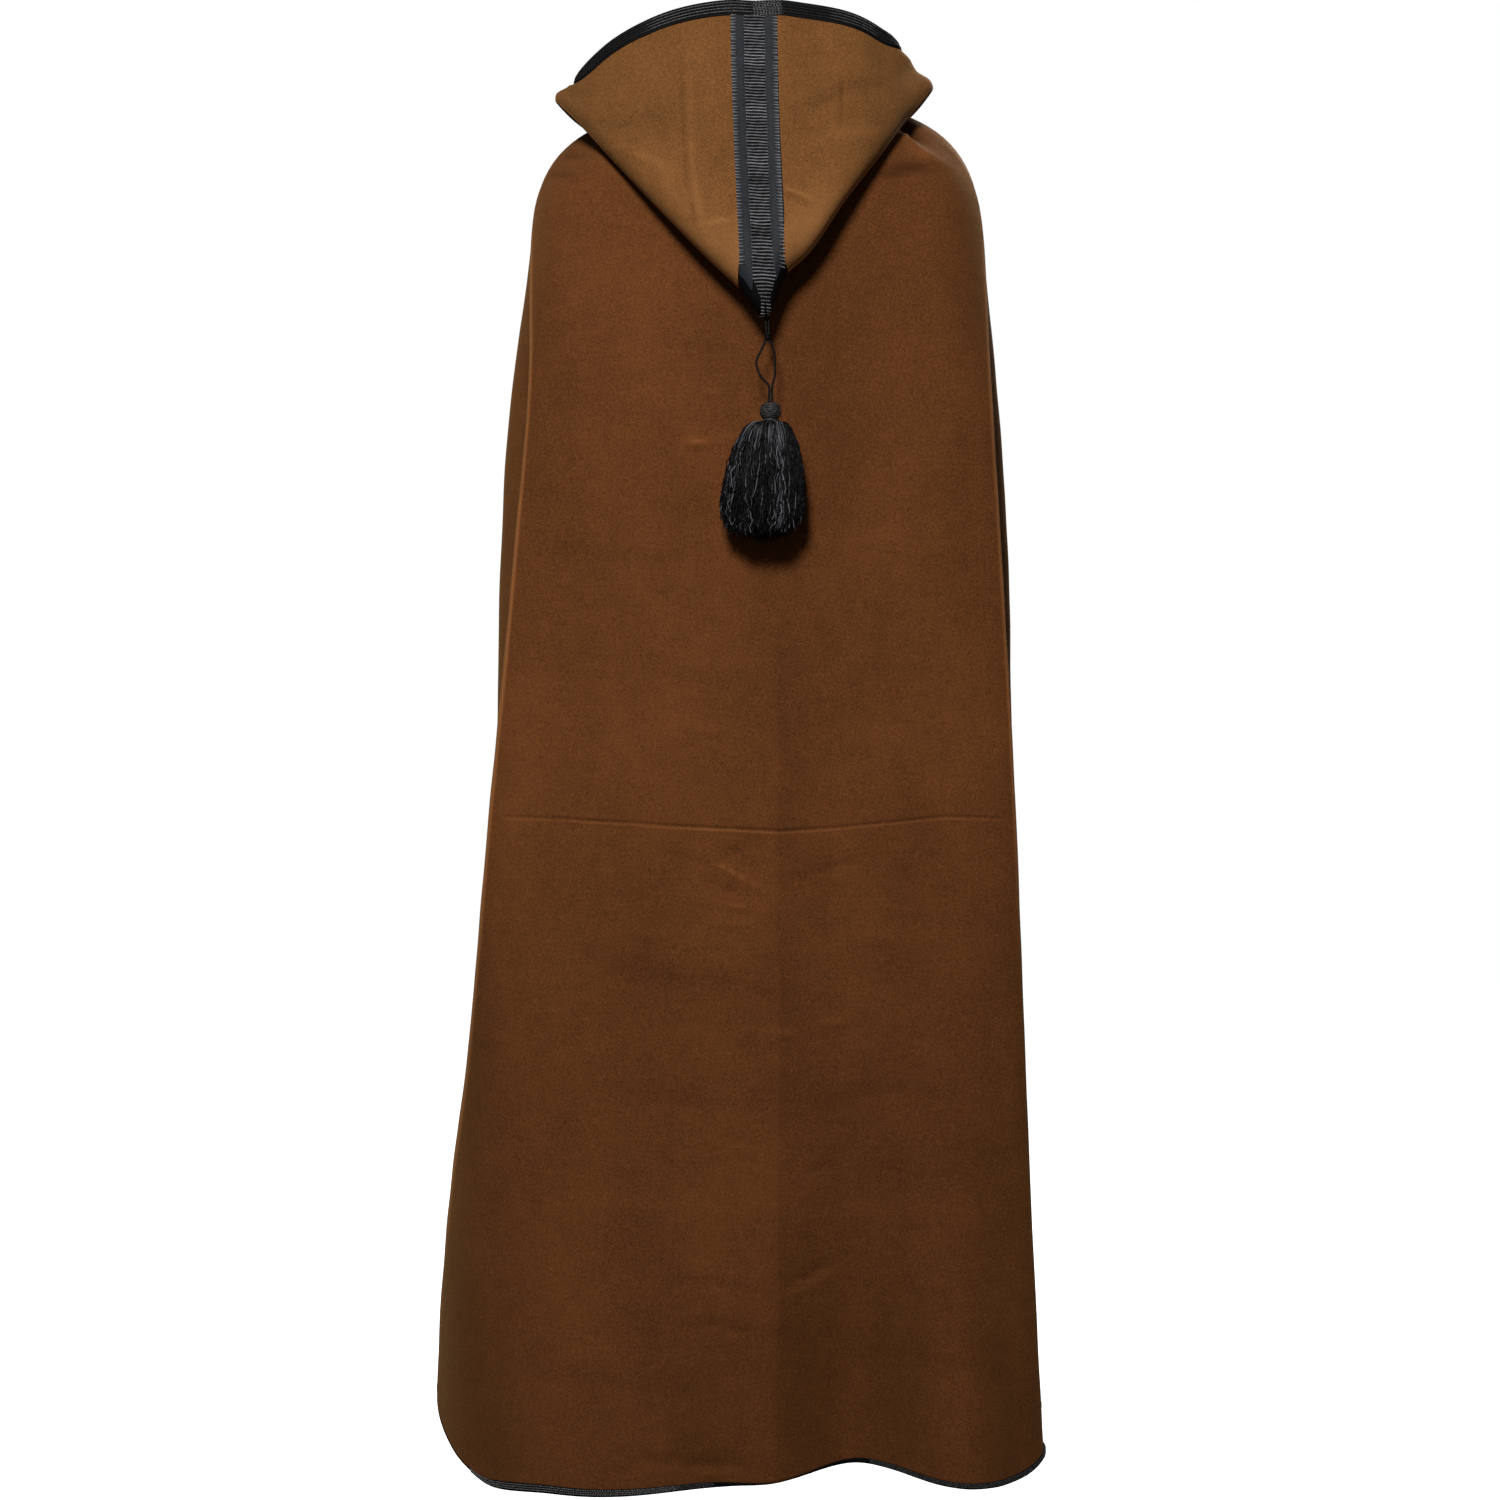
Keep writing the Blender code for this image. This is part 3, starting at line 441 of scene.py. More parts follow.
# The ball that the head is wound on, and the core inside head and bulb
BALL = 0.0099  # its radius
TASSEL_AXIS = np.array([TASSEL_X, TASSEL_Y, 0.0])
CORE = (
    # z, radius
    (-0.2975, 0.0040),
    (-0.2990, 0.0085),
    (-0.3040, 0.0098),
    (-0.3095, 0.0088),
    (-0.3125, 0.0052),
    (-0.3150, 0.0080),
    (-0.3230, 0.0140),
    (-0.3400, 0.0170),
    (-0.3700, 0.0190),
    (-0.3950, 0.0150),
)

# ---------------------------------------------------------------- curves


def curve_through(knots, points, at, flat_start=False):
    """A smooth curve through points at rising knots, read at a knot value."""
    last = len(knots) - 1
    i = min(max(sum(1 for k in knots[1:-1] if k <= at), 0), last - 1)

    def slope(j):
        if flat_start and j == 0:
            return 0.0 * points[0]
        a, b = max(j - 1, 0), min(j + 1, last)
        if a == j or b == j:
            return (points[b] - points[a]) / (knots[b] - knots[a])
        before, after = knots[j] - knots[a], knots[b] - knots[j]
        left, right = (points[j] - points[a]) / before, (points[b] - points[j]) / after
        return (left * after + right * before) / (before + after)

    span = knots[i + 1] - knots[i]
    t = (at - knots[i]) / span
    t2, t3 = t * t, t * t * t
    return (
        (2 * t3 - 3 * t2 + 1) * points[i]
        + (t3 - 2 * t2 + t) * span * slope(i)
        + (3 * t2 - 2 * t3) * points[i + 1]
        + (t3 - t2) * span * slope(i + 1)
    )


def read_table(rows, at, column, flat_start=False):
    """One column of a table whose first column rises, read between its rows."""
    return curve_through([r[0] for r in rows], [r[column] for r in rows], at, flat_start)


def bezier(a, b, c, d, t):
    """A curve from a to d that leaves towards b and arrives from c."""
    s = 1 - t
    return s * s * s * a + 3 * s * s * t * b + 3 * s * t * t * c + t * t * t * d


def smooth(t):
    """An even ease from 0 to 1, for one number."""
    t = min(max(t, 0.0), 1.0)
    return t * t * (3 - 2 * t)


# ---------------------------------------------------------------- the cloak's surface


def neck_point(side, share):
    """A point of the neck seam, from the nape (share 0) round to the throat (share 1)."""
    angle = math.pi / 2 - NECK_SWEEP * share
    depth = NECK_BACK_DEPTH if angle > 0 else NECK_FRONT_DEPTH
    if share < SEAM_SHARE:
        height = NAPE_HEIGHT + (NECK_SIDE_HEIGHT - NAPE_HEIGHT) * smooth(share / SEAM_SHARE)
    else:
        fall = smooth((share - SEAM_SHARE) / (1 - SEAM_SHARE))
        height = NECK_SIDE_HEIGHT + (THROAT_HEIGHT - NECK_SIDE_HEIGHT) * fall
    height += 0.5 * SHOULDER_LIFT[side] * math.sin(math.pi * share) ** 2
    sign = SIDES[side]
    return Vector((sign * NECK_HALF_WIDTH * math.cos(angle), depth * math.sin(angle), height))


def stations(side, drop):
    """The points of one side of a horizontal section, from centre back to the front edge."""
    back_y, front_y, gap = (read_table(LEVELS, drop, c) for c in (1, 2, 3))
    edge_x, edge_y, valley_x, valley_y, arm_x, arm_y = (
        read_table(SIDE_LEVELS[side], drop, c) for c in range(1, 7)
    )
    return [
        Vector((0.0, back_y)),
        Vector((0.46 * edge_x, back_y)),
        Vector((0.86 * edge_x, back_y - 0.30 * (back_y - edge_y))),
        Vector((edge_x, edge_y)),
        Vector((valley_x, valley_y)),
        Vector((arm_x, arm_y)),
        Vector((0.76 * arm_x, 0.30 * arm_y + 0.70 * front_y)),
        Vector((0.40 * arm_x, 0.06 * arm_y + 0.94 * front_y)),
        Vector((gap, front_y)),
    ]


def section_point(side, share, drop):
    """A point of a horizontal section, before its hanging folds."""
    points = stations(side, drop)
    knots = [0.0]
    for a, b in zip(points, points[1:]):
        knots.append(knots[-1] + (b - a).length ** 0.5)
    i = min(sum(1 for s in STATIONS[1:-1] if s <= share), len(STATIONS) - 2)
    within = (share - STATIONS[i]) / (STATIONS[i + 1] - STATIONS[i])
    mirrored = [Vector((-points[1].x, points[1].y)), *points]
    at = knots[i] + within * (knots[i + 1] - knots[i])
    return curve_through([-knots[1], *knots], mirrored, at)


def fold_depth(side, share, drop):
    """How far the hanging folds carry the cloth out at a point. A fold near the middle crosses it."""
    depth = 0.0
    for fold_side, centre, half_width, start, deep in FOLDS:
        away = share - centre if fold_side == side else share + centre
        if abs(away) < half_width:
            swell = math.cos(math.pi / 2 * away / half_width) ** 2
            depth += deep * swell * smooth((drop - start) / (1 - start))
    return depth


def hanging_point(side, share, drop):
    """A point of the cloak below the shoulders."""
    near = 0.004
    at = section_point(side, share, drop)
    along = section_point(side, min(share + near, 1.0), drop)
    along -= section_point(side, max(share - near, 0.0), drop)
    out = Vector((-along.y, along.x)).normalized()
    at = at + out * fold_depth(side, share, drop)
    hem = read_table(HEM[side], share, 1, flat_start=True)
    return Vector((SIDES[side] * at.x, at.y, HANG_HEIGHT + drop * (hem - HANG_HEIGHT)))


def shoulder_point(side, share, way):
    """A point of the cloak between the neck (way 0) and where it starts to hang (way 1)."""
    slope, reach, lift = (read_table(SHOULDER, share, c) for c in (1, 2, 3))
    start, end = neck_point(side, share), hanging_point(side, share, 0.0)
    flat = Vector((end.x - start.x, end.y - start.y, 0.0))
    out = flat.normalized() * math.cos(math.radians(slope)) - Vector((0, 0, math.sin(math.radians(slope))))
    raised = Vector((0, 0, 0.5 * SHOULDER_LIFT[side] * math.sin(math.pi * share) ** 2))
    return bezier(
        start,
        start + out * reach * (end - start).length + raised,
        end + Vector((0, 0, lift)) + raised,
        end,
        way,
    )


# ---------------------------------------------------------------- the hood's surface


def hood_point(side, share, way, cloak):
    """A point of the hood: way 0 at the neck, FOLD_AT at the fold and 1 at the face edge."""
    row = [read_table(HOOD[side], share, c, flat_start=c != 1 and c != 4) for c in range(1, 10)]
    fold, face = Vector(row[0:3]), Vector(row[3:6])
    out_handle, face_handle, rise = row[6:9]
    base = neck_point(side, share) + Vector((0, 0, CLOTH + SEAM))
    nose = Vector((0.0, 1.0 - rise, rise)).normalized()
    if way < FOLD_AT:
        down = Vector((0, 0, -0.25)) * (1 - rise)
        handle = 0.35 * (fold - base).length
        start_handle = base + ((fold - base).normalized() + down).normalized() * handle
        point = bezier(base, start_handle, fold - nose * NOSE_HANDLE, fold, way / FOLD_AT)
        clearance = CLOTH + SEAM + (HOOD_CLEARANCE - SEAM) * smooth(6 * way)
        return kept_off(point, clearance, cloak)
    upward = (face - fold).normalized()
    settle = Vector((0.0, -0.30, 1.0)).normalized() * (1 - rise) + upward * rise
    return bezier(
        fold,
        fold + nose * out_handle,
        face - settle.normalized() * face_handle,
        face,
        (way - FOLD_AT) / (1 - FOLD_AT),
    )


def kept_off(point, clearance, cloak):
    """The point, moved out of the cloak's cloth if it lies nearer than that."""
    place, normal, _, _ = cloak.find_nearest(point)
    if (point - place).dot(normal) < clearance:
        return place + normal * clearance
    return point


# ---------------------------------------------------------------- cloth as a fine grid


def steps(start, end, spacing, *closer):
    """Rising places from start to end, closer together round some: (place, spacing there, reach)."""
    made, at = [start], start
    while at < end:
        at += min([fine for place, fine, reach in closer if abs(at - place) < reach], default=spacing)
        made.append(at)
    made = np.array(made)
    if not any(start < place < end for place, _, _ in closer):
        return start + (made - start) * (end - start) / (made[-1] - start)
    made = made[made < end - 0.4 * spacing]
    return np.append(made, end)


def weights(t):
    """The four weights of a smooth curve through neighbouring points."""
    return (
        -0.5 * t**3 + t**2 - 0.5 * t,
        1.5 * t**3 - 2.5 * t**2 + 1,
        -1.5 * t**3 + 2 * t**2 + 0.5 * t,
        0.5 * t**3 - 0.5 * t**2,
    )


def read_rows(grid, at):
    """A grid of points read smoothly at rows that may lie between two, and may differ by column."""
    grid = np.concatenate([2 * grid[:1] - grid[1:2], grid, 2 * grid[-1:] - grid[-2:-1]])
    if at.ndim == 1:
        at = np.repeat(at[:, None], grid.shape[1], axis=1)
    i = np.clip(np.floor(at).astype(int), 0, grid.shape[0] - 4)
    column = np.arange(grid.shape[1])[None, :]
    return sum(w[..., None] * grid[i + k, column] for k, w in enumerate(weights(at - i)))


def read_columns(grid, at):
    """A grid of points read smoothly at columns that may lie between two."""
    return read_rows(grid.transpose(1, 0, 2), at).transpose(1, 0, 2)


def lengths_along(line):
    """How far along a line of points each of them lies."""
    return np.concatenate([[0.0], np.cumsum(np.linalg.norm(np.diff(line, axis=0), axis=1))])


def smooth_step(t):
    """An even ease from 0 to 1, for each of many numbers."""
    t = np.clip(t, 0.0, 1.0)
    return t * t * (3 - 2 * t)


def unit(vectors):
    """The same directions, each of length 1."""
    return vectors / np.maximum(np.linalg.norm(vectors, axis=-1, keepdims=True), 1e-12)


def smooth_line(points, count):
    """A smooth curve through a few points of a table."""
    knots = list(range(len(points)))
    line = [Vector(p) for p in points]
    return np.array([curve_through(knots, line, knots[-1] * i / (count - 1)) for i in range(count)])


def bell(away, width):
    """1 where away is 0, and dying away over about two widths to each side."""
    return np.exp(-((away / width) ** 2))


def between(table, at, column=1):
    """One column of a table whose first column rises, read straight between its rows."""
    return np.interp(at, [row[0] for row in table], [row[column] for row in table])


def crease_relief(x, z, creases):
    """How far a table of creases lifts the cloth at these places."""
    relief = np.zeros_like(x)
    for kind, width, depth, points in creases:
        line, width = smooth_line(points, CREASE_POINTS), width * MM
        reach = 4 * width
        near = (x > line[:, 0].min() - reach) & (x < line[:, 0].max() + reach)
        near &= (z > line[:, 1].min() - reach) & (z < line[:, 1].max() + reach)
        if not near.any():
            continue
        here = np.stack([x[near], z[near]], axis=1)
        best, along = np.full(len(here), 1.0), np.zeros(len(here))
        for i, (a, b) in enumerate(zip(line, line[1:])):
            t = np.clip(((here - a) @ (b - a)) / max((b - a) @ (b - a), 1e-12), 0, 1)
            away = np.linalg.norm(here - (a + t[:, None] * (b - a)), axis=1)
            along = np.where(away < best, (i + t) / (len(line) - 1), along)
            best = np.minimum(away, best)
        fading = np.sin(np.pi * np.clip(0.04 + 0.92 * along, 0, 1)) ** 0.8
        lift = depth * MM * fading * bell(best, width)
        relief[near] += lift if kind == "ridge" else -lift
    return relief


def rumple(points, across, down, seed):
    """Soft unevenness of well-used cloth, from -1 to 1, longer down the cloth than across it."""
    flat = points.reshape(-1, 3) / np.array([across, across, down]) + seed
    return np.array([noise.noise(Vector(p)) for p in flat]).reshape(points.shape[:-1])


class Cloth:
    """A fine grid of points, from the wearer's left round the back to the right, and its normals."""

    def __init__(self, points, outward):
        self.points = points
        across = np.gradient(points, axis=1)
        down = np.gradient(points, axis=0)
        self.normals = unit(np.cross(across, down)) * outward
        self.relief = np.zeros(points.shape[:2])
        self.painted_light = np.zeros(points.shape[:2])  # painted light: paler (above 0) as painted highlight, or darker as painted shade
        self.middle = points.shape[1] // 2

    def lift(self, relief):
        """Moves the points out along their normals, and keeps count of how far."""
        self.points = self.points + self.normals * relief[..., None]
        self.relief = self.relief + relief

    def at(self, row, column, distance=0.0):
        """Points at rows and columns that may lie between two, moved outward."""
        row, column = np.broadcast_arrays(np.asarray(row, float), np.asarray(column, float))
        r = np.clip(row.astype(int), 0, self.points.shape[0] - 2)
        c = np.clip(column.astype(int), 0, self.points.shape[1] - 2)
        v, u = (row - r)[..., None], (column - c)[..., None]

        def blend(grid):
            upper = grid[r, c] * (1 - u) + grid[r, c + 1] * u
            return upper * (1 - v) + (grid[r + 1, c] * (1 - u) + grid[r + 1, c + 1] * u) * v

        return blend(self.points) + unit(blend(self.normals)) * np.asarray(distance)[..., None]

    def aside(self, row, distances):
        """The columns that lie these distances aside of the middle, level, along one row."""
        near = 24
        columns = np.arange(self.middle - near, self.middle + near + 1, dtype=float)
        x = self.at(np.full(len(columns), row), columns)[:, 0]
        x = np.maximum.accumulate(x[near] - x)
        return np.interp(-np.asarray(distances), x, columns)

    def rows_down(self, column, spacing, first, last):
        """Rows at even distances down one column, from one row to another."""
        rows = np.arange(self.points.shape[0], dtype=float)
        along = lengths_along(self.at(rows, np.full(len(rows), float(column))))
        start, end = np.interp([first, last], rows, along)
        return np.interp(np.arange(start, end, spacing), along, rows)


def both_sides(left, right):
    """Two sides' columns as one grid, from the wearer's left round the back to the right."""
    middle = (left[:, :1] + right[:, :1]) / 2
    return np.concatenate([left[:, :0:-1], middle, right[:, 1:]], axis=1)


def cloak_grid(shares, shoulder_rows, hang_rows):
    """The cloak's points at these shares of the way round each side, from the neck down to the hem."""
    sides = []
    for side in SIDES:
        rows = [[shoulder_point(side, s, r / shoulder_rows) for s in shares] for r in range(shoulder_rows)]
        rows += [[hanging_point(side, s, r / hang_rows) for s in shares] for r in range(hang_rows + 1)]
        sides.append(np.array(rows))
    return both_sides(*sides)


def surface(points):
    """A grid of points as a surface, to be asked for its nearest place or for what a line meets."""
    faces = grid_faces(*points.shape[:2])
    return BVHTree.FromPolygons(points.reshape(-1, 3).tolist(), faces.tolist())


def cloak_columns(base, spacing):
    """The columns to read the grid at, and how many of them lie before each seam.

    They are even along the cloth, and closer at the long crease and at each side's folded edge.
    """
    row = base[TOP_ROWS + DOWN_ROWS // 2]
    arc = lengths_along(row)
    numbers = np.arange(len(arc))
    behind = slice(HALF - 8, HALF + 8)
    crease = float(np.interp(-LONG_CREASE_X, -row[behind, 0], arc[behind]))
    # Each: where, the spacing there, and how far it reaches
    closer = [(crease, 0.0016, 0.010)]
    for way in (-1, 1):
        edge = float(np.interp(HALF + way * FOLDED_EDGE * HALF, numbers, arc))
        closer.append((edge, 0.0018, 0.015))
    marks = [0, HALF - HALF // 2, HALF + HALF // 2, 2 * HALF]
    parts, seams = [], []
    for start, end in zip(marks, marks[1:]):
        spaced = steps(arc[start], arc[end], spacing, *closer)
        parts.append(np.interp(spaced, arc, numbers)[: None if end == marks[-1] else -1])
        seams.append(sum(len(part) for part in parts))
    return np.concatenate(parts), seams[:2]


def cloak_rows(base, wide, spacing):
    """The rows to read the grid at: even down the middle, and closer at the packing crease.

    Given are the rows down the middle, the same in every column, where they follow the crease, and
    the crease's own row down the middle and in every column.
    """
    arc = lengths_along(base[:, HALF])
    numbers = np.arange(len(arc))
    z = -base[TOP_ROWS:, HALF, 2]
    centre_row = TOP_ROWS + float(np.interp(-between(PACKING_CREASE, 0.0), z, np.arange(len(z))))
    crease = float(np.interp(centre_row, numbers, arc))
    rows = np.interp(steps(0.0, arc[-1], spacing, (crease, 0.0011, 0.009)), arc, numbers)
    crease_row = []
    for c in range(wide.shape[1]):
        place, z = centre_row, -wide[TOP_ROWS:, c, 2]
        for _ in range(2):
            x = np.interp(place, np.arange(wide.shape[0]), wide[:, c, 0])
            place = TOP_ROWS + float(np.interp(-between(PACKING_CREASE, x), z, np.arange(len(z))))
        crease_row.append(place)
    crease_row = np.array(crease_row)
    pull = bell(rows - centre_row, 3.4)
    at = rows[:, None] + pull[:, None] * (crease_row - centre_row)[None, :]
    at[0], at[-1] = 0.0, len(arc) - 1.0
    return rows, at, centre_row, crease_row


# The next three give how far a feature lifts the cloth, and how much paler or darker the wool is painted
# there, as painted highlight and shade


def packing_crease(below, share):
    """A furrow right across, painted darker as painted shade, and a welt 3 mm under it, painted paler as a
    painted highlight. It stops short of the folded edges.
    """
    furrow_depth, furrow_width, dark, painted_shade_width = 0.00085, 0.0012, 1.9, 0.0013
    welt_height, welt_width, pale, painted_highlight_width = 0.00055, 0.0016, 1.5, 0.0017
    below_welt = below - 0.0030
    uneven = 0.85 + 0.25 * np.sin(23 * share + 0.7) * np.cos(9 * share)
    fading, on_front = np.clip((0.365 - share) / 0.035, 0.0, 1.0), 0.5
    uneven = uneven * np.where(share < 0.45, fading, on_front)
    relief = welt_height * bell(below_welt, welt_width) - furrow_depth * bell(below, furrow_width)
    painted_light = pale * bell(below_welt, painted_highlight_width) - dark * bell(below, painted_shade_width)
    return uneven * relief, uneven * painted_light


def long_crease(x, z):
    """A sharp furrow in a wide soft one, with painted shading that makes one side of it paler and the other
    darker.
    """
    depth, full_depth = between(LONG_CREASE, z, 2), 0.0011
    wander = 0.0012 * np.sin(41 * z) * np.sin(17 * z)
    beside = x - between(LONG_CREASE, z) - wander
    sharp, soft = bell(beside, 0.0020), bell(beside, 0.010)
    relief = -0.65 * depth * (0.8 * sharp + 0.25 * soft)
    # Painted shade: the wool is painted paler on one side of the crease and darker on the other
    turned = np.exp(-np.abs(beside) / 0.055) * np.tanh(beside / 0.0022) * np.where(beside > 0, 0.45, 0.55)
    return relief, turned * np.clip(depth / full_depth, 0, 1)


def side_folds(x, z, columns):
    """The valley at each side, a painted highlight along the rim of the fold beside it, and painted shade
    behind that.
    """
    valley_at, valley_width, valley_depth = 0.425, 0.0085, 0.0040
    painted_rim_highlight, rim_width, inside_rim = 4.8, 0.0018, 0.0019
    dark, painted_shade_reach = 3.0, 0.0040
    share = np.abs(columns - HALF) / HALF
    relief, painted_light = np.zeros_like(x), np.zeros_like(x)
    for side, sign in SIDES.items():
        on_side = np.sign(HALF - columns) == sign
        # It starts at the shoulder, and is faint at its lower end
        strength = np.clip((SIDE_FOLD_STARTS - z) / 0.06, 0, 1)
        strength = strength * np.clip((z - SIDE_FOLD_ENDS[side]) / 0.25, 0.15, 1)
        valley = bell((share - valley_at) * SIDE_ROUND, valley_width)
        relief -= valley_depth * strength * valley * on_side
        band = np.where(on_side & (share > 0.33) & (share < 0.43))[0]
        widest = band[np.argmax(np.abs(x[:, band]), axis=1)]
        outside = np.abs(x) - np.abs(x[np.arange(len(x)), widest])[:, None]
        beyond = (np.arange(len(columns))[None, :] - widest[:, None]) * -sign > 0
        # Painted highlight just inside the fold's rim, and painted shade just beyond it
        rim = painted_rim_highlight * bell(outside + inside_rim, rim_width) * ~beyond * (share > 0.30)
        behind = dark * np.exp(-np.clip(outside, 0, None) / painted_shade_reach) * beyond * (share < 0.58)
        painted_light += strength * on_side * (rim - behind)
    return relief, painted_light


def painted_side_shade(x, z):
    """How much paler or darker the wool is painted, as painted shade by height and from left to right."""
    left, right = (between(PAINTED_SHADE_BY_HEIGHT, z, column) for column in (1, 2))
    return left + (right - left) * smooth_step((0.06 - x) / 0.12)


@lru_cache(maxsize=1)
def cloak_cloth():
    """The hanging cloth of back and fronts, the columns of its two seams, and its rows."""
    size = bpy.context.scene.burnous_cloth
    base = cloak_grid([c / HALF for c in range(HALF + 1)], TOP_ROWS, DOWN_ROWS)
    # The shoulders run into the hanging cloth without a pinch
    near = 0.9 * bell(np.arange(len(base)) - TOP_ROWS, 4.0)[1:-1, None, None]
    for _ in range(8):
        base[1:-1] += near * (base[:-2] - 2 * base[1:-1] + base[2:]) / 4

    columns, seams = cloak_columns(base, size.column_spacing)
    wide = read_columns(base, columns)
    rows, at, centre_row, crease_row = cloak_rows(base, wide, size.row_spacing)
    cloth = Cloth(read_rows(wide, at), -1)

    points = cloth.points
    x, y, z = points[..., 0], points[..., 1], points[..., 2]
    share = np.abs(columns - HALF) / HALF
    on_back = (share < 0.40) & (y > 0.02)
    on_shoulders = (share < 0.47) & (y > 0.0)
    on_front = (share > 0.60) & (y < -0.02)
    relief = np.where(on_back, crease_relief(x, z, BACK_CREASES), 0.0)
    relief += np.where(on_shoulders, crease_relief(x, z, SHOULDER_CREASES), 0.0)
    relief += np.where(on_front, crease_relief(x, z, FRONT_CREASES), 0.0)
    row_length = np.linalg.norm(np.gradient(wide, axis=0), axis=2)[int(centre_row)]
    packed, packed_painted_light = packing_crease((at - crease_row) * row_length, share)
    furrow, furrow_painted_light = long_crease(x, z)
    folds, folds_painted_light = side_folds(x, z, columns)
    relief += packed + np.where(on_back, furrow, 0.0) + folds
    # Painted light: shading beside the long crease, by height and side, and at the packing crease and the
    # side folds
    cloth.painted_light = np.where(on_back, furrow_painted_light, 0.0) + painted_side_shade(x, z) + packed_painted_light + folds_painted_light

    # The cloth is least even where it hangs loose, and drawn in a little along its seams
    loose = np.clip((-0.02 - z) / 0.25, 0.25, 1)
    relief += 0.0016 * loose * rumple(points, 0.085, 0.190, 3.1)
    relief += 0.0006 * loose * rumple(points, 0.030, 0.055, 8.7)
    relief -= 0.0007 * bell((share - SEAM_SHARE) * SIDE_ROUND, 0.004)
    clear_of_edges = np.minimum(at / 2.0, 1.0) * np.clip((len(base) - 1 - at) / 0.6, 0.3, 1)
    cloth.lift(size.crease_depth * relief * clear_of_edges)
    return cloth, *seams, rows


@lru_cache(maxsize=1)
def hood_cloth():
    """The hood's cloth, its columns as shares of the way round, and its rows as ways along a rib."""
    size = bpy.context.scene.burnous_cloth
    shares = [c / HALF for c in range(HALF + 1)]
    cloak = surface(cloak_grid(shares[::2], SHOULDER_ROWS, HANG_ROWS))
    ways = np.concatenate([np.linspace(0, FOLD_AT, 44)[:-1], np.linspace(FOLD_AT, 1, 106)])
    base = both_sides(
        *(np.array([[hood_point(side, s, way, cloak) for s in shares] for way in ways]) for side in SIDES)
    )
    # The neck edge is sewn down to the cloak's
    sewn = np.clip(1 - ways / 0.06, 0, 1)
    base[..., 2] -= (CLOTH + SEAM) * sewn[:, None]
    # Columns, even along the outer layer and closer than the cloak's
    outer_row, closer = int(0.62 * len(ways)), 0.82
    arc, spacing = lengths_along(base[outer_row]), size.column_spacing * closer
    left, right = (steps(arc[a], arc[b], spacing) for a, b in ((0, HALF), (HALF, 2 * HALF)))
    columns = np.interp(np.concatenate([left[:-1], right]), arc, np.arange(len(arc)))
    wide = read_columns(base, columns)
    # Its corners stand up beside the face edge
    near_face = smooth_step((1.0 - ways) / 0.14)[:, None]
    for centre, out, push, reach in HOOD_CORNERS:
        away = (wide - centre) / (reach, 2 * reach, reach)
        wide = wide + push * (np.exp(-(away**2).sum(axis=2)) * near_face)[..., None] * np.array(out)
    cloth = Cloth(wide, 1)
    cloth.middle = len(left) - 1

    # Creases on the outer layer alone, shallow under the ribbon
    points = cloth.points
    x, z = points[..., 0], points[..., 2]
    share = np.abs(columns - HALF) / HALF
    on_back = share < 0.42
    outer = np.clip((ways - FOLD_AT - 0.02) / 0.05, 0, 1) * np.clip((1 - ways) / 0.03, 0.0, 1)
    relief = crease_relief(x, z, HOOD_CREASES) * on_back
    relief += 0.0013 * rumple(points, 0.055, 0.075, 5.3) + 0.0005 * rumple(points, 0.022, 0.030, 1.9)
    beside_ribbon = np.clip(np.abs(np.arange(len(columns)) - cloth.middle) / 3.0, 0.35, 1)
    cloth.lift(size.crease_depth * relief * outer[:, None] * beside_ribbon)
    # Painted light: paler low down, more so on the wearer's right, and a painted highlight along the fold
    cloth.painted_light = np.clip((-0.045 - z) / 0.07, -0.35, 1.5)
    cloth.painted_light += 0.9 * smooth_step((-0.02 - x) / 0.04) * smooth_step((-0.05 - z) / 0.06)
    cloth.painted_light += 2.2 * bell(ways - FOLD_AT - 0.010, 0.024)[:, None] * on_back
    return cloth, (columns - HALF) / HALF, ways


# ---------------------------------------------------------------- meshes


def placed(name, data):
    """A new object in the scene."""
    obj = bpy.data.objects.new(name, data)
    bpy.context.scene.collection.objects.link(obj)
    return obj


def mark_points(data, name, values):
    """Values kept on the points of a mesh, for its material or its node tree to read."""
    mark = data.attributes.new(name, "FLOAT", "POINT")
    mark.data.foreach_set("value", np.asarray(values, np.float32).ravel())


def mesh_piece(name, points, faces, look):
    """A new piece from points and faces."""
    data = bpy.data.meshes.new(name)
    data.from_pydata(points, [], faces)
    data.materials.append(look)
    data.shade_smooth()
    data.update()
    return placed(name, data)


def grid_faces(rows, columns, start=0, flip=False, around=False):
    """The faces of a grid of points, whose rows may close on themselves."""
    index = start + np.arange(rows * columns).reshape(rows, columns)
    if around:
        index = np.concatenate([index, index[:, :1]], axis=1)
    a, b, c, d = index[:-1, :-1], index[1:, :-1], index[1:, 1:], index[:-1, 1:]
    quads = np.stack([a, b, c, d], axis=-1).reshape(-1, 4)
    return quads[:, ::-1] if flip else quads


def volume(points, faces):
    """Six times the volume inside a closed mesh: below 0 if its faces are inside out."""
    a, b, c, d = (points[faces[:, i]] for i in range(4))
    return (np.cross(b - a, c - a) * a).sum() + (np.cross(c - a, d - a) * a).sum()


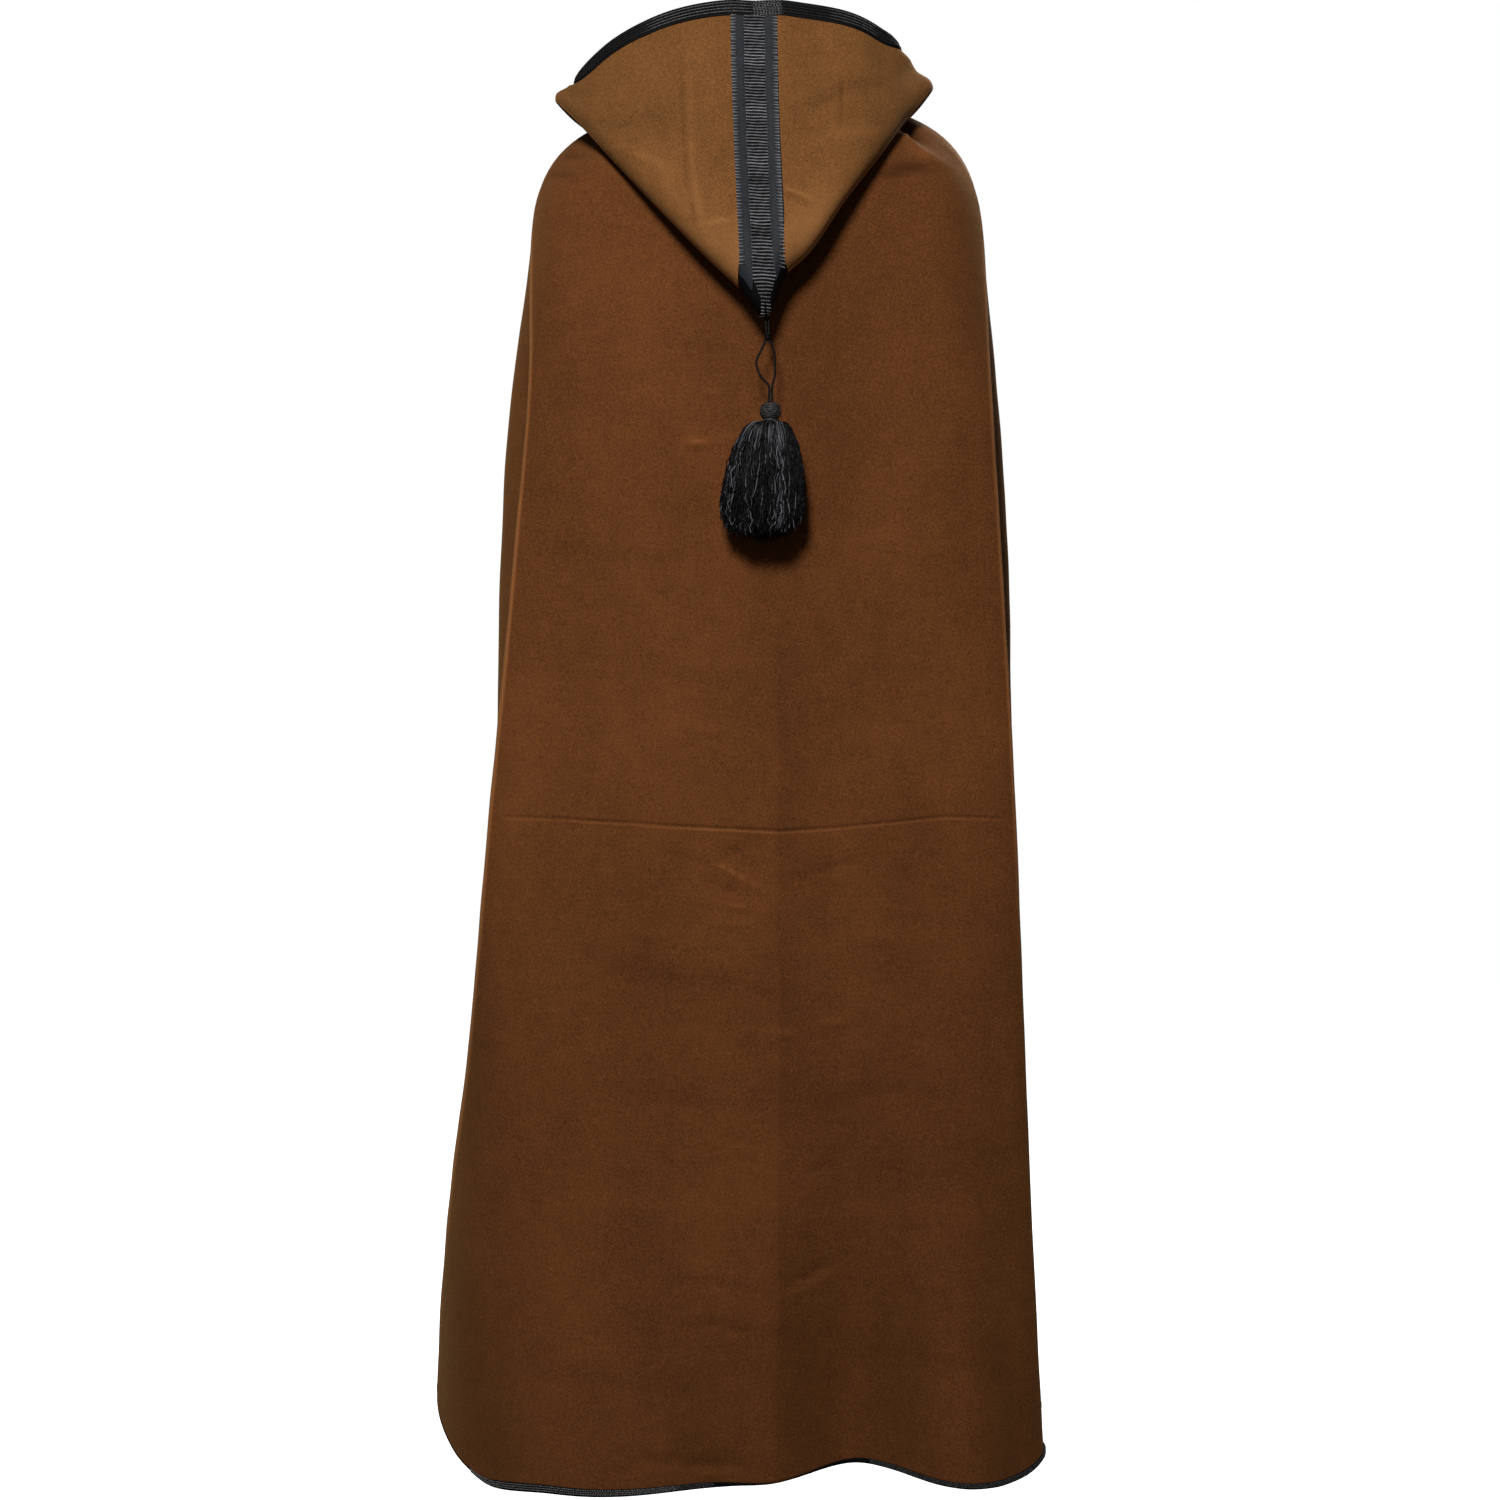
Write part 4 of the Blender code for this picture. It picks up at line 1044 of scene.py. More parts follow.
def wall_piece(name, cloth, columns, look, thickness):
    """A wall of cloth over some of the columns, its edge columns given as numbers between two."""
    rows = np.arange(cloth.points.shape[0], dtype=float)[:, None]
    columns = np.asarray(columns, float)[None, :]
    outer, inner = (cloth.at(rows, columns, s * thickness / 2) for s in (1, -1))
    high, wide = outer.shape[:2]
    points = np.concatenate([outer.reshape(-1, 3), inner.reshape(-1, 3)])
    faces = [grid_faces(high, wide), grid_faces(high, wide, high * wide, flip=True)]
    index = np.arange(high * wide).reshape(high, wide)
    rim = np.concatenate([index[0], index[1:-1, -1], index[-1, ::-1], index[-2:0:-1, 0]])
    ahead = np.roll(rim, -1)
    faces.append(np.stack([rim, ahead, ahead + high * wide, rim + high * wide], axis=1))
    faces = np.concatenate(faces)
    if volume(points, faces) < 0:
        faces = faces[:, ::-1]
    column = np.clip(np.round(columns[0]).astype(int), 0, cloth.relief.shape[1] - 1)
    # Painted light and shade for the wool: welts painted paler and furrows darker, plus the cloth's own
    # painted highlights and shade, all kept in the relief attribute
    painted_light = (cloth.relief[:, column] / PAINTED_SHADE_STEP + cloth.painted_light[:, column]).ravel()
    piece = mesh_piece(name, points, faces, look)
    mark_points(piece.data, "relief", [painted_light, painted_light])
    return piece


def swept_section(name, rings, look):
    """A closed piece from rings of points, each a section of it, capped at both ends."""
    count, sides = rings.shape[:2]
    points = rings.reshape(-1, 3)
    faces = grid_faces(count, sides, around=True)
    if volume(points, faces) < 0:
        faces = faces[:, ::-1]
        caps = [list(range(sides)), list(range(count * sides - 1, (count - 1) * sides - 1, -1))]
    else:
        caps = [list(range(sides - 1, -1, -1)), list(range((count - 1) * sides, count * sides))]
    return mesh_piece(name, points, [*faces.tolist(), *caps], look)


# ---------------------------------------------------------------- threads, ribs and stitches


class Nodes:
    """A node tree being built: every node comes from its one method."""

    def __init__(self, tree):
        self.tree = tree

    def node(self, kind, settings=None, sockets=None):
        made = self.tree.nodes.new(kind)
        for name, value in (settings or {}).items():
            setattr(made, name, value)
        for name, value in (sockets or {}).items():
            value = value.link if isinstance(value, Number) else value
            if isinstance(value, bpy.types.NodeSocket):
                self.tree.links.new(value, made.inputs[name])
            else:
                made.inputs[name].default_value = value
        return made

    def number(self, kind, settings=None, sockets=None, output=0):
        return Number(self, self.node(kind, settings, sockets).outputs[output])


class Number:
    """A number in a node tree, so that sums on it read as sums."""

    def __init__(self, nodes, link):
        self.nodes, self.link = nodes, link

    def maths(self, operation, first, second=0.0):
        return self.nodes.number("ShaderNodeMath", {"operation": operation}, {0: first, 1: second})

    def __add__(self, other):
        return self.maths("ADD", self, other)

    def __sub__(self, other):
        return self.maths("SUBTRACT", self, other)

    def __rsub__(self, other):
        return self.maths("SUBTRACT", other, self)

    def __mul__(self, other):
        return self.maths("MULTIPLY", self, other)

    def __truediv__(self, other):
        return self.maths("DIVIDE", self, other)

    def __rtruediv__(self, other):
        return self.maths("DIVIDE", other, self)

    def held(self):
        """Kept between 0 and 1."""
        return self.maths("MAXIMUM", self.maths("MINIMUM", self, 1.0), 0.0)

    __radd__ = __add__
    __rmul__ = __mul__


THREAD_INPUTS = (
    # name, kind, default
    ("Geometry", "NodeSocketGeometry", None),
    ("Thread radius", "NodeSocketFloat", 0.0004),
    ("Sides", "NodeSocketInt", 6),
    ("Waviness", "NodeSocketFloat", 0.0),
    ("Wave length", "NodeSocketFloat", 0.02),
    ("Seed", "NodeSocketInt", 7),
    ("Material", "NodeSocketMaterial", None),
)


@lru_cache(maxsize=1)
def thread_tree():
    """Sweeps a round thread along every line of edges, thinner where its points say so."""
    tree = bpy.data.node_groups.new("Swept threads", "GeometryNodeTree")
    for name, kind, default in THREAD_INPUTS:
        socket = tree.interface.new_socket(name, in_out="INPUT", socket_type=kind)
        if default is not None:
            socket.default_value = default
    tree.interface.new_socket("Geometry", in_out="OUTPUT", socket_type="NodeSocketGeometry")
    nodes = Nodes(tree)
    given = nodes.node("NodeGroupInput").outputs
    width, free, own = (
        nodes.number("GeometryNodeInputNamedAttribute", {"data_type": "FLOAT"}, {"Name": name})
        for name in ("width", "free", "own")
    )
    lines = nodes.node("GeometryNodeMeshToCurve", None, {"Mesh": given["Geometry"]})
    place = nodes.node("GeometryNodeInputPosition").outputs[0]
    scale = 1.0 / Number(nodes, given["Wave length"])
    waves = nodes.node(
        "ShaderNodeTexNoise",
        {"noise_dimensions": "4D"},
        {"Vector": place, "W": own + given["Seed"], "Scale": scale, "Detail": 1.0},
    )
    centred = nodes.node(
        "ShaderNodeVectorMath",
        {"operation": "SUBTRACT"},
        {0: waves.outputs["Color"], 1: (0.5, 0.5, 0.5)},
    )
    reach = Number(nodes, given["Waviness"]) * free * 2.0
    offset = nodes.node(
        "ShaderNodeVectorMath",
        {"operation": "SCALE"},
        {0: centred.outputs[0], "Scale": reach},
    )
    moved = nodes.node(
        "GeometryNodeSetPosition",
        None,
        {"Geometry": lines.outputs[0], "Offset": offset.outputs[0]},
    )
    sized = nodes.node("GeometryNodeSetCurveRadius", None, {"Curve": moved.outputs[0], "Radius": width})
    ring = nodes.node(
        "GeometryNodeCurvePrimitiveCircle",
        None,
        {"Resolution": given["Sides"], "Radius": given["Thread radius"]},
    )
    swept = nodes.node(
        "GeometryNodeCurveToMesh",
        None,
        {"Curve": sized.outputs[0], "Profile Curve": ring.outputs[0], "Fill Caps": True},
    )
    plain = nodes.node("GeometryNodeRealizeInstances", None, {0: swept.outputs[0]})
    shaded = nodes.node("GeometryNodeSetShadeSmooth", None, {0: plain.outputs[0]})
    finished = nodes.node(
        "GeometryNodeSetMaterial",
        None,
        {"Geometry": shaded.outputs[0], "Material": given["Material"]},
    )
    nodes.node("NodeGroupOutput", None, {"Geometry": finished.outputs[0]})
    return tree


def threads(name, lines, look, radius, sides=6, waviness=0.0, wave_length=0.02):
    """Threads along lines. A line is its points, the width of each as a share, how free, and its tone."""
    points, edges = [], []
    marks = {"width": [], "free": [], "tone": [], "own": []}
    for number, (line, *given) in enumerate(lines):
        start = len(points)
        points += [tuple(p) for p in line]
        edges += [(start + i, start + i + 1) for i in range(len(line) - 1)]
        own = (number * GOLDEN) % 1.0 * 40.0
        for values, value in zip(marks.values(), (*given, own)):
            values.extend(np.broadcast_to(value, len(line)))
    guide = bpy.data.meshes.new(name + "_guide")
    guide.from_pydata(points, edges, [])
    for mark, values in marks.items():
        mark_points(guide, mark, values)
    holder = placed(name + "_guide", guide)
    modifier = holder.modifiers.new("Swept threads", "NODES")
    modifier.node_group = thread_tree()
    settings = {
        "Thread radius": radius,
        "Sides": sides,
        "Waviness": waviness,
        "Wave length": wave_length,
        "Seed": 7,
        "Material": look,
    }
    for item in modifier.node_group.interface.items_tree:
        if item.item_type == "SOCKET" and item.in_out == "INPUT" and item.name in settings:
            modifier[item.identifier] = settings[item.name]
    bpy.context.view_layer.update()
    graph = bpy.context.evaluated_depsgraph_get()
    data = bpy.data.meshes.new_from_object(holder.evaluated_get(graph))
    holder.modifiers.remove(modifier)
    bpy.data.objects.remove(holder)
    data.name = name
    return placed(name, data)


def joined(name, parts):
    """Several objects as one piece, each keeping its finish."""
    with bpy.context.temp_override(
        active_object=parts[0], object=parts[0], selected_editable_objects=parts, selected_objects=parts
    ):
        bpy.ops.object.join()
    parts[0].name = parts[0].data.name = name
    return parts[0]


def place_along(line, marks):
    """Points at these distances along a line of points."""
    along = lengths_along(line)
    return np.stack([np.interp(marks, along, line[:, k]) for k in range(3)], axis=1)


# ---------------------------------------------------------------- edges bound with braid


class Edge:
    """The edge of a cloth: places at a distance in from it, all along it."""

    def __init__(self, points, normals):
        """Rows of points that run towards the edge, and one column for each place along it."""
        self.points, self.normals = points, normals
        self.inward = [lengths_along(points[::-1, c]) for c in range(points.shape[1])]
        self.outward = unit(points[-1] - points[-2])

    def line(self, distance, height):
        """A line along the edge, this distance in from it (or beyond it, if negative), lifted."""
        distance = np.broadcast_to(distance, self.points.shape[1])
        made = []
        for c, s in enumerate(distance):
            place, normal = (
                np.array([np.interp(max(s, 0.0), self.inward[c], grid[::-1, c, k]) for k in range(3)])
                for grid in (self.points, self.normals)
            )
            made.append(place + self.outward[c] * max(-s, 0.0) + unit(normal) * height)
        return np.array(made)


# Stitches: how high over the middle of the cloth, how thick, and how long as a share of their pitch
STITCH_HEIGHT = CLOTH / 2 + 0.00152
STITCH_RADIUS = 0.00062
STITCH_SHARE = 0.62
NARROWEST = 0.0045  # a braid narrower than this shows no stitches


def braid_section(width, welts):
    """The outline of a braid folded over an edge: (share of the width or metres beyond, height)."""
    low, high, welt = CLOTH / 2 + 0.00025, CLOTH / 2 + 0.0011, 0.00035
    outline = [(1.0, low), (1.0, high - 0.0002), (0.985, high)]
    for at in welts:
        outline += [(at + 0.055, high), (at, high + welt), (at - 0.055, high)]
    outline += [(0.0, high), (-0.0008, 0.7 * high), (-0.0011, 0.0), (-0.0008, -0.7 * high), (0.0, -high)]
    outline += [(0.20, -high), (0.20, -low), (0.0, -low), (-0.0002, 0.0), (0.0, low)]
    return [(s * width if s > 0 else s, h) for s, h in outline]


def bind_edge(name, edge, width, welts, look, shown=1.0):
    """Braid round an edge, as one closed strip. width and shown are numbers, or one for each place."""
    rings = np.stack([edge.line(s, h) for s, h in braid_section(np.asarray(width), welts)], axis=1)
    core = edge.line(0.0006, 0.0)[:, None]
    shown = np.broadcast_to(shown, len(rings))[:, None, None]
    return swept_section(name, core + (rings - core) * shown, look)


def braid_stitches(name, edge, width, welts, look, pitch, seed, painted_glint=1.0):
    """Short stitches along each welt of a braid; painted_glint is how pale they are painted, as painted
    highlights, or one value for each place.
    """
    lines = []
    chance = np.random.default_rng(seed)
    for number, at in enumerate(welts):
        line = edge.line(at * np.asarray(width), STITCH_HEIGHT)
        along = lengths_along(line)
        wide, pale = (np.broadcast_to(v, len(line)) for v in (width, painted_glint))
        starts = np.arange(0.3 * pitch * (1 + number % 2), along[-1] - pitch, pitch)
        starts = starts + chance.uniform(-0.08, 0.08, len(starts)) * pitch
        tones = chance.uniform(0.5, 1.0, len(starts)) * np.interp(starts, along, pale)
        points = place_along(line, np.stack([starts, starts + STITCH_SHARE * pitch], axis=1).ravel())
        shown = (np.interp(starts, along, wide) > NARROWEST) & (np.interp(starts, along, pale) > 0.02)
        lines += [(points[2 * i : 2 * i + 2], 1.0, 0.0, tones[i]) for i in np.where(shown)[0]]
    return threads(name, lines, look, STITCH_RADIUS, sides=4)


# ---------------------------------------------------------------- finishes


def finish(name, colour, roughness, **constants):
    """A material with its shader, and the nodes to paint it."""
    made = bpy.data.materials.new(name)
    made.use_nodes = True
    shader = made.node_tree.nodes["Principled BSDF"]
    shader.inputs["Base Color"].default_value = (*colour, 1.0)
    shader.inputs["Roughness"].default_value = roughness
    for socket, value in constants.items():
        shader.inputs[socket.replace("_", " ")].default_value = value
    return made, shader, Nodes(made.node_tree)


def grain(nodes, scale, detail=2.0, roughness=0.5, stretch=(1.0, 1.0, 1.0)):
    """Noise on the object's own coordinates."""
    place = nodes.node("ShaderNodeTexCoord").outputs["Object"]
    turned = nodes.node("ShaderNodeMapping", None, {"Vector": place, "Scale": stretch})
    sockets = {"Vector": turned.outputs[0], "Scale": scale, "Detail": detail, "Roughness": roughness}
    return nodes.number("ShaderNodeTexNoise", None, sockets, output="Fac")


def bumped(nodes, height, strength, distance, under=None):
    """Small unevenness that catches the light, on top of another's if that is given."""
    sockets = {"Height": height, "Strength": strength, "Distance": distance}
    if under is not None:
        sockets["Normal"] = under
    return nodes.node("ShaderNodeBump", None, sockets).outputs[0]


def scaled(colour, share):
    """A colour made darker or paler."""
    return tuple(c * share for c in colour)


def blend(nodes, factor, first, second):
    """One colour turning into another."""
    first = (*first, 1.0) if isinstance(first, tuple) else first
    second = (*second, 1.0) if isinstance(second, tuple) else second
    return nodes.node("ShaderNodeMix", {"data_type": "RGBA"}, {0: factor, 6: first, 7: second}).outputs[2]


def wool(name, colour):
    """Felted wool: mottled and finely fibrous, with painted highlights on its welts and fold rims and
    painted shade in its furrows, from the relief attribute.
    """
    made, shader, nodes = finish(
        name,
        colour,
        0.92,
        Sheen_Weight=0.16,
        Sheen_Roughness=0.50,
        Sheen_Tint=(1.0, 0.55, 0.20, 1.0),
        Specular_IOR_Level=0.06,
    )
    mottle = grain(nodes, 62, 3.0, 0.55)
    cloud = grain(nodes, 13, 2.0, 0.5)
    fibre = grain(nodes, 950, 2.0, 0.65, (1.0, 1.0, 0.8))
    fleck = grain(nodes, 460, 2.0, 0.6)
    fluff = grain(nodes, 2100, 1.0, 0.6)
    # The painted light and shade, read from the cloth's points
    painted_light = nodes.number("ShaderNodeAttribute", {"attribute_name": "relief"}, None, output="Fac")
    # Mottle and fibres of the wool, with its painted light and shade added
    light = 0.5 + (mottle - 0.5) * 0.35 + (cloud - 0.5) * 0.30 + (fibre - 0.5) * 1.8
    light = light + (fleck - 0.5) * 1.25 + painted_light * 0.20
    paint = blend(nodes, light.held(), scaled(colour, 0.58), scaled(colour, 1.42))
    # Painted shade in the furrows and behind the folds, and painted highlights on the fold rims and welts
    painted_shade_mix = ((painted_light * -1.0 - 1.6) * 0.25).held()
    paint = blend(nodes, painted_shade_mix, paint, scaled(colour, 0.26))
    painted_highlight_mix = ((painted_light - 0.9) * 0.17).held()
    paint = blend(nodes, painted_highlight_mix, paint, (colour[0] * 3.0, colour[1] * 3.4, colour[2] * 4.2))
    pale = ((fluff - 0.60) * 4.0).held() * 0.26
    paint = blend(nodes, pale, paint, tuple(min(1.0, c * 1.9 + 0.02) for c in colour))
    nodes.tree.links.new(paint, shader.inputs["Base Color"])
    nap = bumped(nodes, fibre * 0.65 + fluff * 0.35, 0.55, 0.0009)
    ripple = grain(nodes, 80, 1.0, 0.5, (0.35, 0.35, 1.0))
    nodes.tree.links.new(bumped(nodes, ripple, 0.5, 0.0016, nap), shader.inputs["Normal"])
    return made


def yarn(name, dark, light, roughness, specular):
    """Thread whose tone differs from one length to the next. On stitches, ribs and silk threads a pale tone
    is a painted glint, and on the cords painted shade between the plies.
    """
    made, shader, nodes = finish(name, light, roughness, Specular_IOR_Level=specular)
    tone = nodes.number("ShaderNodeAttribute", {"attribute_name": "tone"}, None, output="Fac")
    speck = grain(nodes, 1500, 1.0)
    mixed = (tone + (speck - 0.5) * 0.5).held()
    nodes.tree.links.new(blend(nodes, mixed, dark, light), shader.inputs["Base Color"])
    nodes.tree.links.new(bumped(nodes, grain(nodes, 2400), 0.3, 0.0004), shader.inputs["Normal"])
    return made


def woven(name, colour, roughness, specular, scale, stretch=(1.0, 1.0, 1.0)):
    """A close weave, seen as fine ribs one way."""
    made, shader, nodes = finish(name, colour, roughness, Specular_IOR_Level=specular)
    weave = grain(nodes, scale, 2.0, 0.6, stretch)
    dust = grain(nodes, 240, 2.0)
    tone = (0.5 + (weave - 0.5) * 1.4 + (dust - 0.5) * 0.6).held()
    paint = blend(nodes, tone, scaled(colour, 0.55), scaled(colour, 1.5))
    nodes.tree.links.new(paint, shader.inputs["Base Color"])
    nodes.tree.links.new(bumped(nodes, weave, 0.45, 0.0005), shader.inputs["Normal"])
    return made


@lru_cache(maxsize=1)
def finishes():
    """Every finish of the cloak, by name."""
    cloth, trim = bpy.context.scene.burnous_cloth, bpy.context.scene.burnous_trim
    silk, rib_wise = tuple(trim.silk), (0.3, 1.0, 1.0)
    # The pale stitch and rib colours are painted glints, where light catches the shiny threads
    stitch_dark, stitch_painted_glint = (0.008, 0.008, 0.0085), (0.17, 0.17, 0.175)
    rib_dark, rib_painted_glint = (0.012, 0.0125, 0.015), (0.19, 0.195, 0.21)
    wound_dark, wound_pale = (0.007, 0.0068, 0.0072), (0.040, 0.038, 0.039)
    return {
        "cloak": wool("brown_felted_wool", tuple(cloth.cloak_colour)),
        # The hood's wool is a paler, yellower copy of the cloak's, painted lighter for the light that falls
        # on it from above
        "hood": wool("brown_felted_wool_painted_lit_hood", tuple(cloth.hood_painted_lit_colour)),
        "ground": woven("black_ribbon_ground", (0.003, 0.003, 0.0035), 0.7, 0.06, 900, rib_wise),
        "satin": woven("slate_satin", tuple(trim.ribbon), 0.60, 0.12, 900, (0.12, 1.0, 1.0)),
        "rib": yarn("slate_rib_thread", rib_dark, rib_painted_glint, 0.6, 0.12),
        "braid": woven("black_braid", tuple(trim.braid), 0.75, 0.07, 700),
        "stitch": yarn("braid_welt_thread", stitch_dark, stitch_painted_glint, 0.6, 0.12),
        # The silk's pale colour is the painted highlight on its glossy streaks
        "silk": yarn("black_silk_thread", scaled(silk, 0.12), scaled(silk, 75.0), 0.30, 0.07),
        "cord": yarn("black_silk_cord", scaled(silk, 0.15), scaled(silk, 1.5), 0.42, 0.10),
        "wound": yarn("grey_silk_winding", wound_dark, wound_pale, 0.5, 0.3),
    }


# ---------------------------------------------------------------- sizes and colours a user may change


def length(name, description, default):
    """A length that a user may change."""
    return bpy.props.FloatProperty(
        name=name, description=description, default=default, min=0.0001, unit="LENGTH", precision=4
    )


def colour(name, description, default):
    """A colour that a user may change."""
    return bpy.props.FloatVectorProperty(
        name=name, description=description, default=default, size=3, subtype="COLOR", min=0.0, max=1.0
    )


class BurnousCloth(bpy.types.PropertyGroup):
    thickness: length("Cloth thickness", "Thickness of the felted wool", CLOTH)
    row_spacing: length("Row spacing", "How far apart the cloth's rows of points lie", 0.0055)
    column_spacing: length("Column spacing", "How far apart the cloth's columns of points lie", 0.0053)
    crease_depth: bpy.props.FloatProperty(
        name="Crease depth", description="Times the depth of every crease", default=1.0, min=0.0, max=2.0
    )
    cloak_colour: colour("Cloak wool", "Colour of the wool of the back and fronts", (0.125, 0.0420, 0.0122))
    # The hood's colour is the cloak's wool painted paler and yellower, as painted light
    hood_painted_lit_colour: colour("Hood wool", "Colour of the wool of the hood", (0.156, 0.0645, 0.0195))


class BurnousTrim(bpy.types.PropertyGroup):
    rib_pitch: length("Rib pitch", "From one rib of the crown ribbon to the next", 0.0034)
    rib_length: length("Rib length", "Length of each rib across the ribbon", 0.0212)
    stitch_pitch: length("Stitch pitch", "From one stitch of the face braid to the next", 0.0014)
    hem_stitch_pitch: length("Hem stitch pitch", "From one stitch of the hem braid to the next", 0.0024)
    ribbon: colour("Ribbon", "Colour of the ribbon's satin bands", (0.0160, 0.0175, 0.0215))
    braid: colour("Braid", "Colour of the braid", (0.004, 0.004, 0.0045))
    silk: colour("Silk", "Colour of the tassel and its cords", (0.0030, 0.0030, 0.0034))


class BurnousTassel(bpy.types.PropertyGroup):
    threads: bpy.props.IntProperty(
        name="Threads", description="Number of threads in the tassel", default=1950, min=100, max=3200
    )
    thread_radius: length("Thread radius", "Radius of one silk thread", 0.00042)
    thread_length: length("Thread length", "From the binding to the ends of the threads", THREAD_LENGTH)
    crimp: length("Crimp", "How far the threads wave to and fro", 0.0013)


class BurnousStudio(bpy.types.PropertyGroup):
    key_watts: bpy.props.FloatProperty(
        name="Key light", description="Power of the soft light above the hood", default=92.0, min=0.0
    )
    fill_strength: bpy.props.FloatProperty(
        name="Fill light", description="Strength of the even white light all round", default=0.085, min=0.0
    )
    floor_height: bpy.props.FloatProperty(
        name="Floor height", description="Height of the studio floor", default=-1.44, unit="LENGTH"
    )


# ---------------------------------------------------------------- pieces


def finish_piece(obj, slot, *nodes):
    """A finished piece rides on the cloak and stands for its solids."""
    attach(obj, "root")
    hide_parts(*nodes)


def soft_light(name, watts, wide, place, target, tint=(1.0, 1.0, 1.0)):
    """A round soft light that shines at a point."""
    light = bpy.data.lights.new(name, "AREA")
    light.shape, light.size, light.energy, light.color = "DISK", wide, watts, tint
    lamp = placed(name, light)
    lamp.location = place
    lamp.rotation_euler = (Vector(target) - lamp.location).to_track_quat("-Z", "Y").to_euler()


def level_disc(radii, sides, height):
    """The points and faces of a level disc, in rings round its middle."""
    turns = [math.tau * i / sides for i in range(sides)]
    points = [(r * math.cos(turn), r * math.sin(turn), height) for r in radii for turn in turns]
    faces = grid_faces(len(radii), sides, around=True).tolist()
    faces += [(i, (i + 1) % sides, len(points)) for i in range(sides)]
    return [*points, (0.0, 0.0, height)], faces


class BURNOUS_OT_stage(bpy.types.Operator):
    """Camera, soft studio light and a plain pale floor"""

    bl_idname = "burnous.stage"
    bl_label = "Studio"

    def execute(self, context):
        size = context.scene.burnous_studio
        camera = placed("studio_camera", bpy.data.cameras.new("studio_camera"))
        camera.data.lens, camera.data.sensor_width = 77.19, 36.0
        camera.location, camera.rotation_euler = (0.0072, 3.3, -0.636), (math.pi / 2, 0.0, math.pi)
        context.scene.camera = camera
        warm = (1.0, 0.985, 0.96)
        soft_light("soft_key", size.key_watts, 0.7, (0.40, 2.6, 1.15), (0.0, 0.1, -0.10), warm)
        soft_light("soft_front", size.key_watts * 0.8, 1.6, (-0.9, -2.2, 1.2), (0.0, 0.0, -0.5))

        world = bpy.data.worlds.new("white_studio")
        world.use_nodes = True
        nodes = Nodes(world.node_tree)
        seen = nodes.number("ShaderNodeLightPath", output="Is Camera Ray")
        strength = seen * (1.0 - size.fill_strength) + size.fill_strength
        background = world.node_tree.nodes["Background"]
        background.inputs["Color"].default_value = (1.0, 1.0, 1.0, 1.0)
        world.node_tree.links.new(strength.link, background.inputs["Strength"])
        context.scene.world = world
        context.scene.view_settings.view_transform = "Standard"

        pale, shader, nodes = finish("pale_floor", (0.88, 0.88, 0.88), 0.9, Emission_Strength=1.0)
        shader.inputs["Emission Color"].default_value = (1.0, 1.0, 1.0, 1.0)
        dust = blend(nodes, grain(nodes, 3.0), (0.86, 0.86, 0.86), (0.90, 0.90, 0.90))
        nodes.tree.links.new(dust, shader.inputs["Base Color"])
        points, faces = level_disc((0.6, 1.5, 3.5, 8.0), 64, size.floor_height)
        floor = mesh_piece("studio_floor", points, faces, pale)
        floor.visible_diffuse = floor.visible_glossy = False
        return {"FINISHED"}


def cord_y(side, z):
    """How far back a cord is at a height: it leans out on its way down."""
    top, bottom = CORDS[side][0][1], CORDS[side][-1][1]
    return TIP_Y + (TASSEL_Y - TIP_Y) * (top - z) / (top - bottom)


def cord_line(side):
    """The middle of a cord, from the hood's tip down into the tassel's head."""
    route = []
    for x, z in CORDS[side]:
        if side == "right":
            # It bows out less than its solid does
            x = max(x, FULL_BOW - 0.15 * (FULL_BOW - x))
        route.append((x, cord_y(side, z), z))
    return smooth_line(route, 150)


class BURNOUS_OT_cords(bpy.types.Operator):
    """The two twisted silk cords that the tassel hangs on"""

    bl_idname = "burnous.cords"
    bl_label = "Tassel cords"

    def execute(self, context):
        silk = finishes()["cord"]
        turn = math.tau * np.arange(12) / 12
        for side in CORDS:
            line = cord_line(side)
            ahead = unit(np.gradient(line, axis=0))
            aside = unit(np.cross(ahead, (0.0, 1.0, 0.0)))
            out = np.cross(aside, ahead)
            twist = math.tau * lengths_along(line) / TWIST_LENGTH
            ply = np.abs(np.cos(turn[None, :] - twist[:, None]))
            radius = CORD_RADIUS * (1.03 + 0.20 * ply**0.7)
            ring = np.cos(turn)[None, :, None] * aside[:, None] + np.sin(turn)[None, :, None] * out[:, None]
            cord = swept_section(f"tassel_cord_{side}_silk", line[:, None] + radius[..., None] * ring, silk)
            # Painted shade: the cord is painted darker between its plies and paler on their crests
            mark_points(cord.data, "tone", 0.05 + 0.5 * ply)
            finish_piece(cord, "black_silk", f"tassel_cord_{side}")
        return {"FINISHED"}


class BURNOUS_OT_cloak(bpy.types.Operator):
    """The back and the two fronts"""

    bl_idname = "burnous.cloak"
    bl_label = "Back and fronts"

    def execute(self, context):
        cloth, left, right, _ = cloak_cloth()
        size, look = context.scene.burnous_cloth, finishes()["cloak"]
        last, gap = cloth.points.shape[1] - 1, 0.1
        pieces = (
            # name, columns, solid
            ("cloak_back_cloth", [left + gap, *range(left + 1, right), right - gap], "back"),
            ("cloak_front_left_cloth", range(left + 1), "front_left"),
            ("cloak_front_right_cloth", range(right, last + 1), "front_right"),
        )
        for name, columns, solid in pieces:
            piece = wall_piece(name, cloth, columns, look, size.thickness)
            finish_piece(piece, "brown_wool", solid)
        return {"FINISHED"}


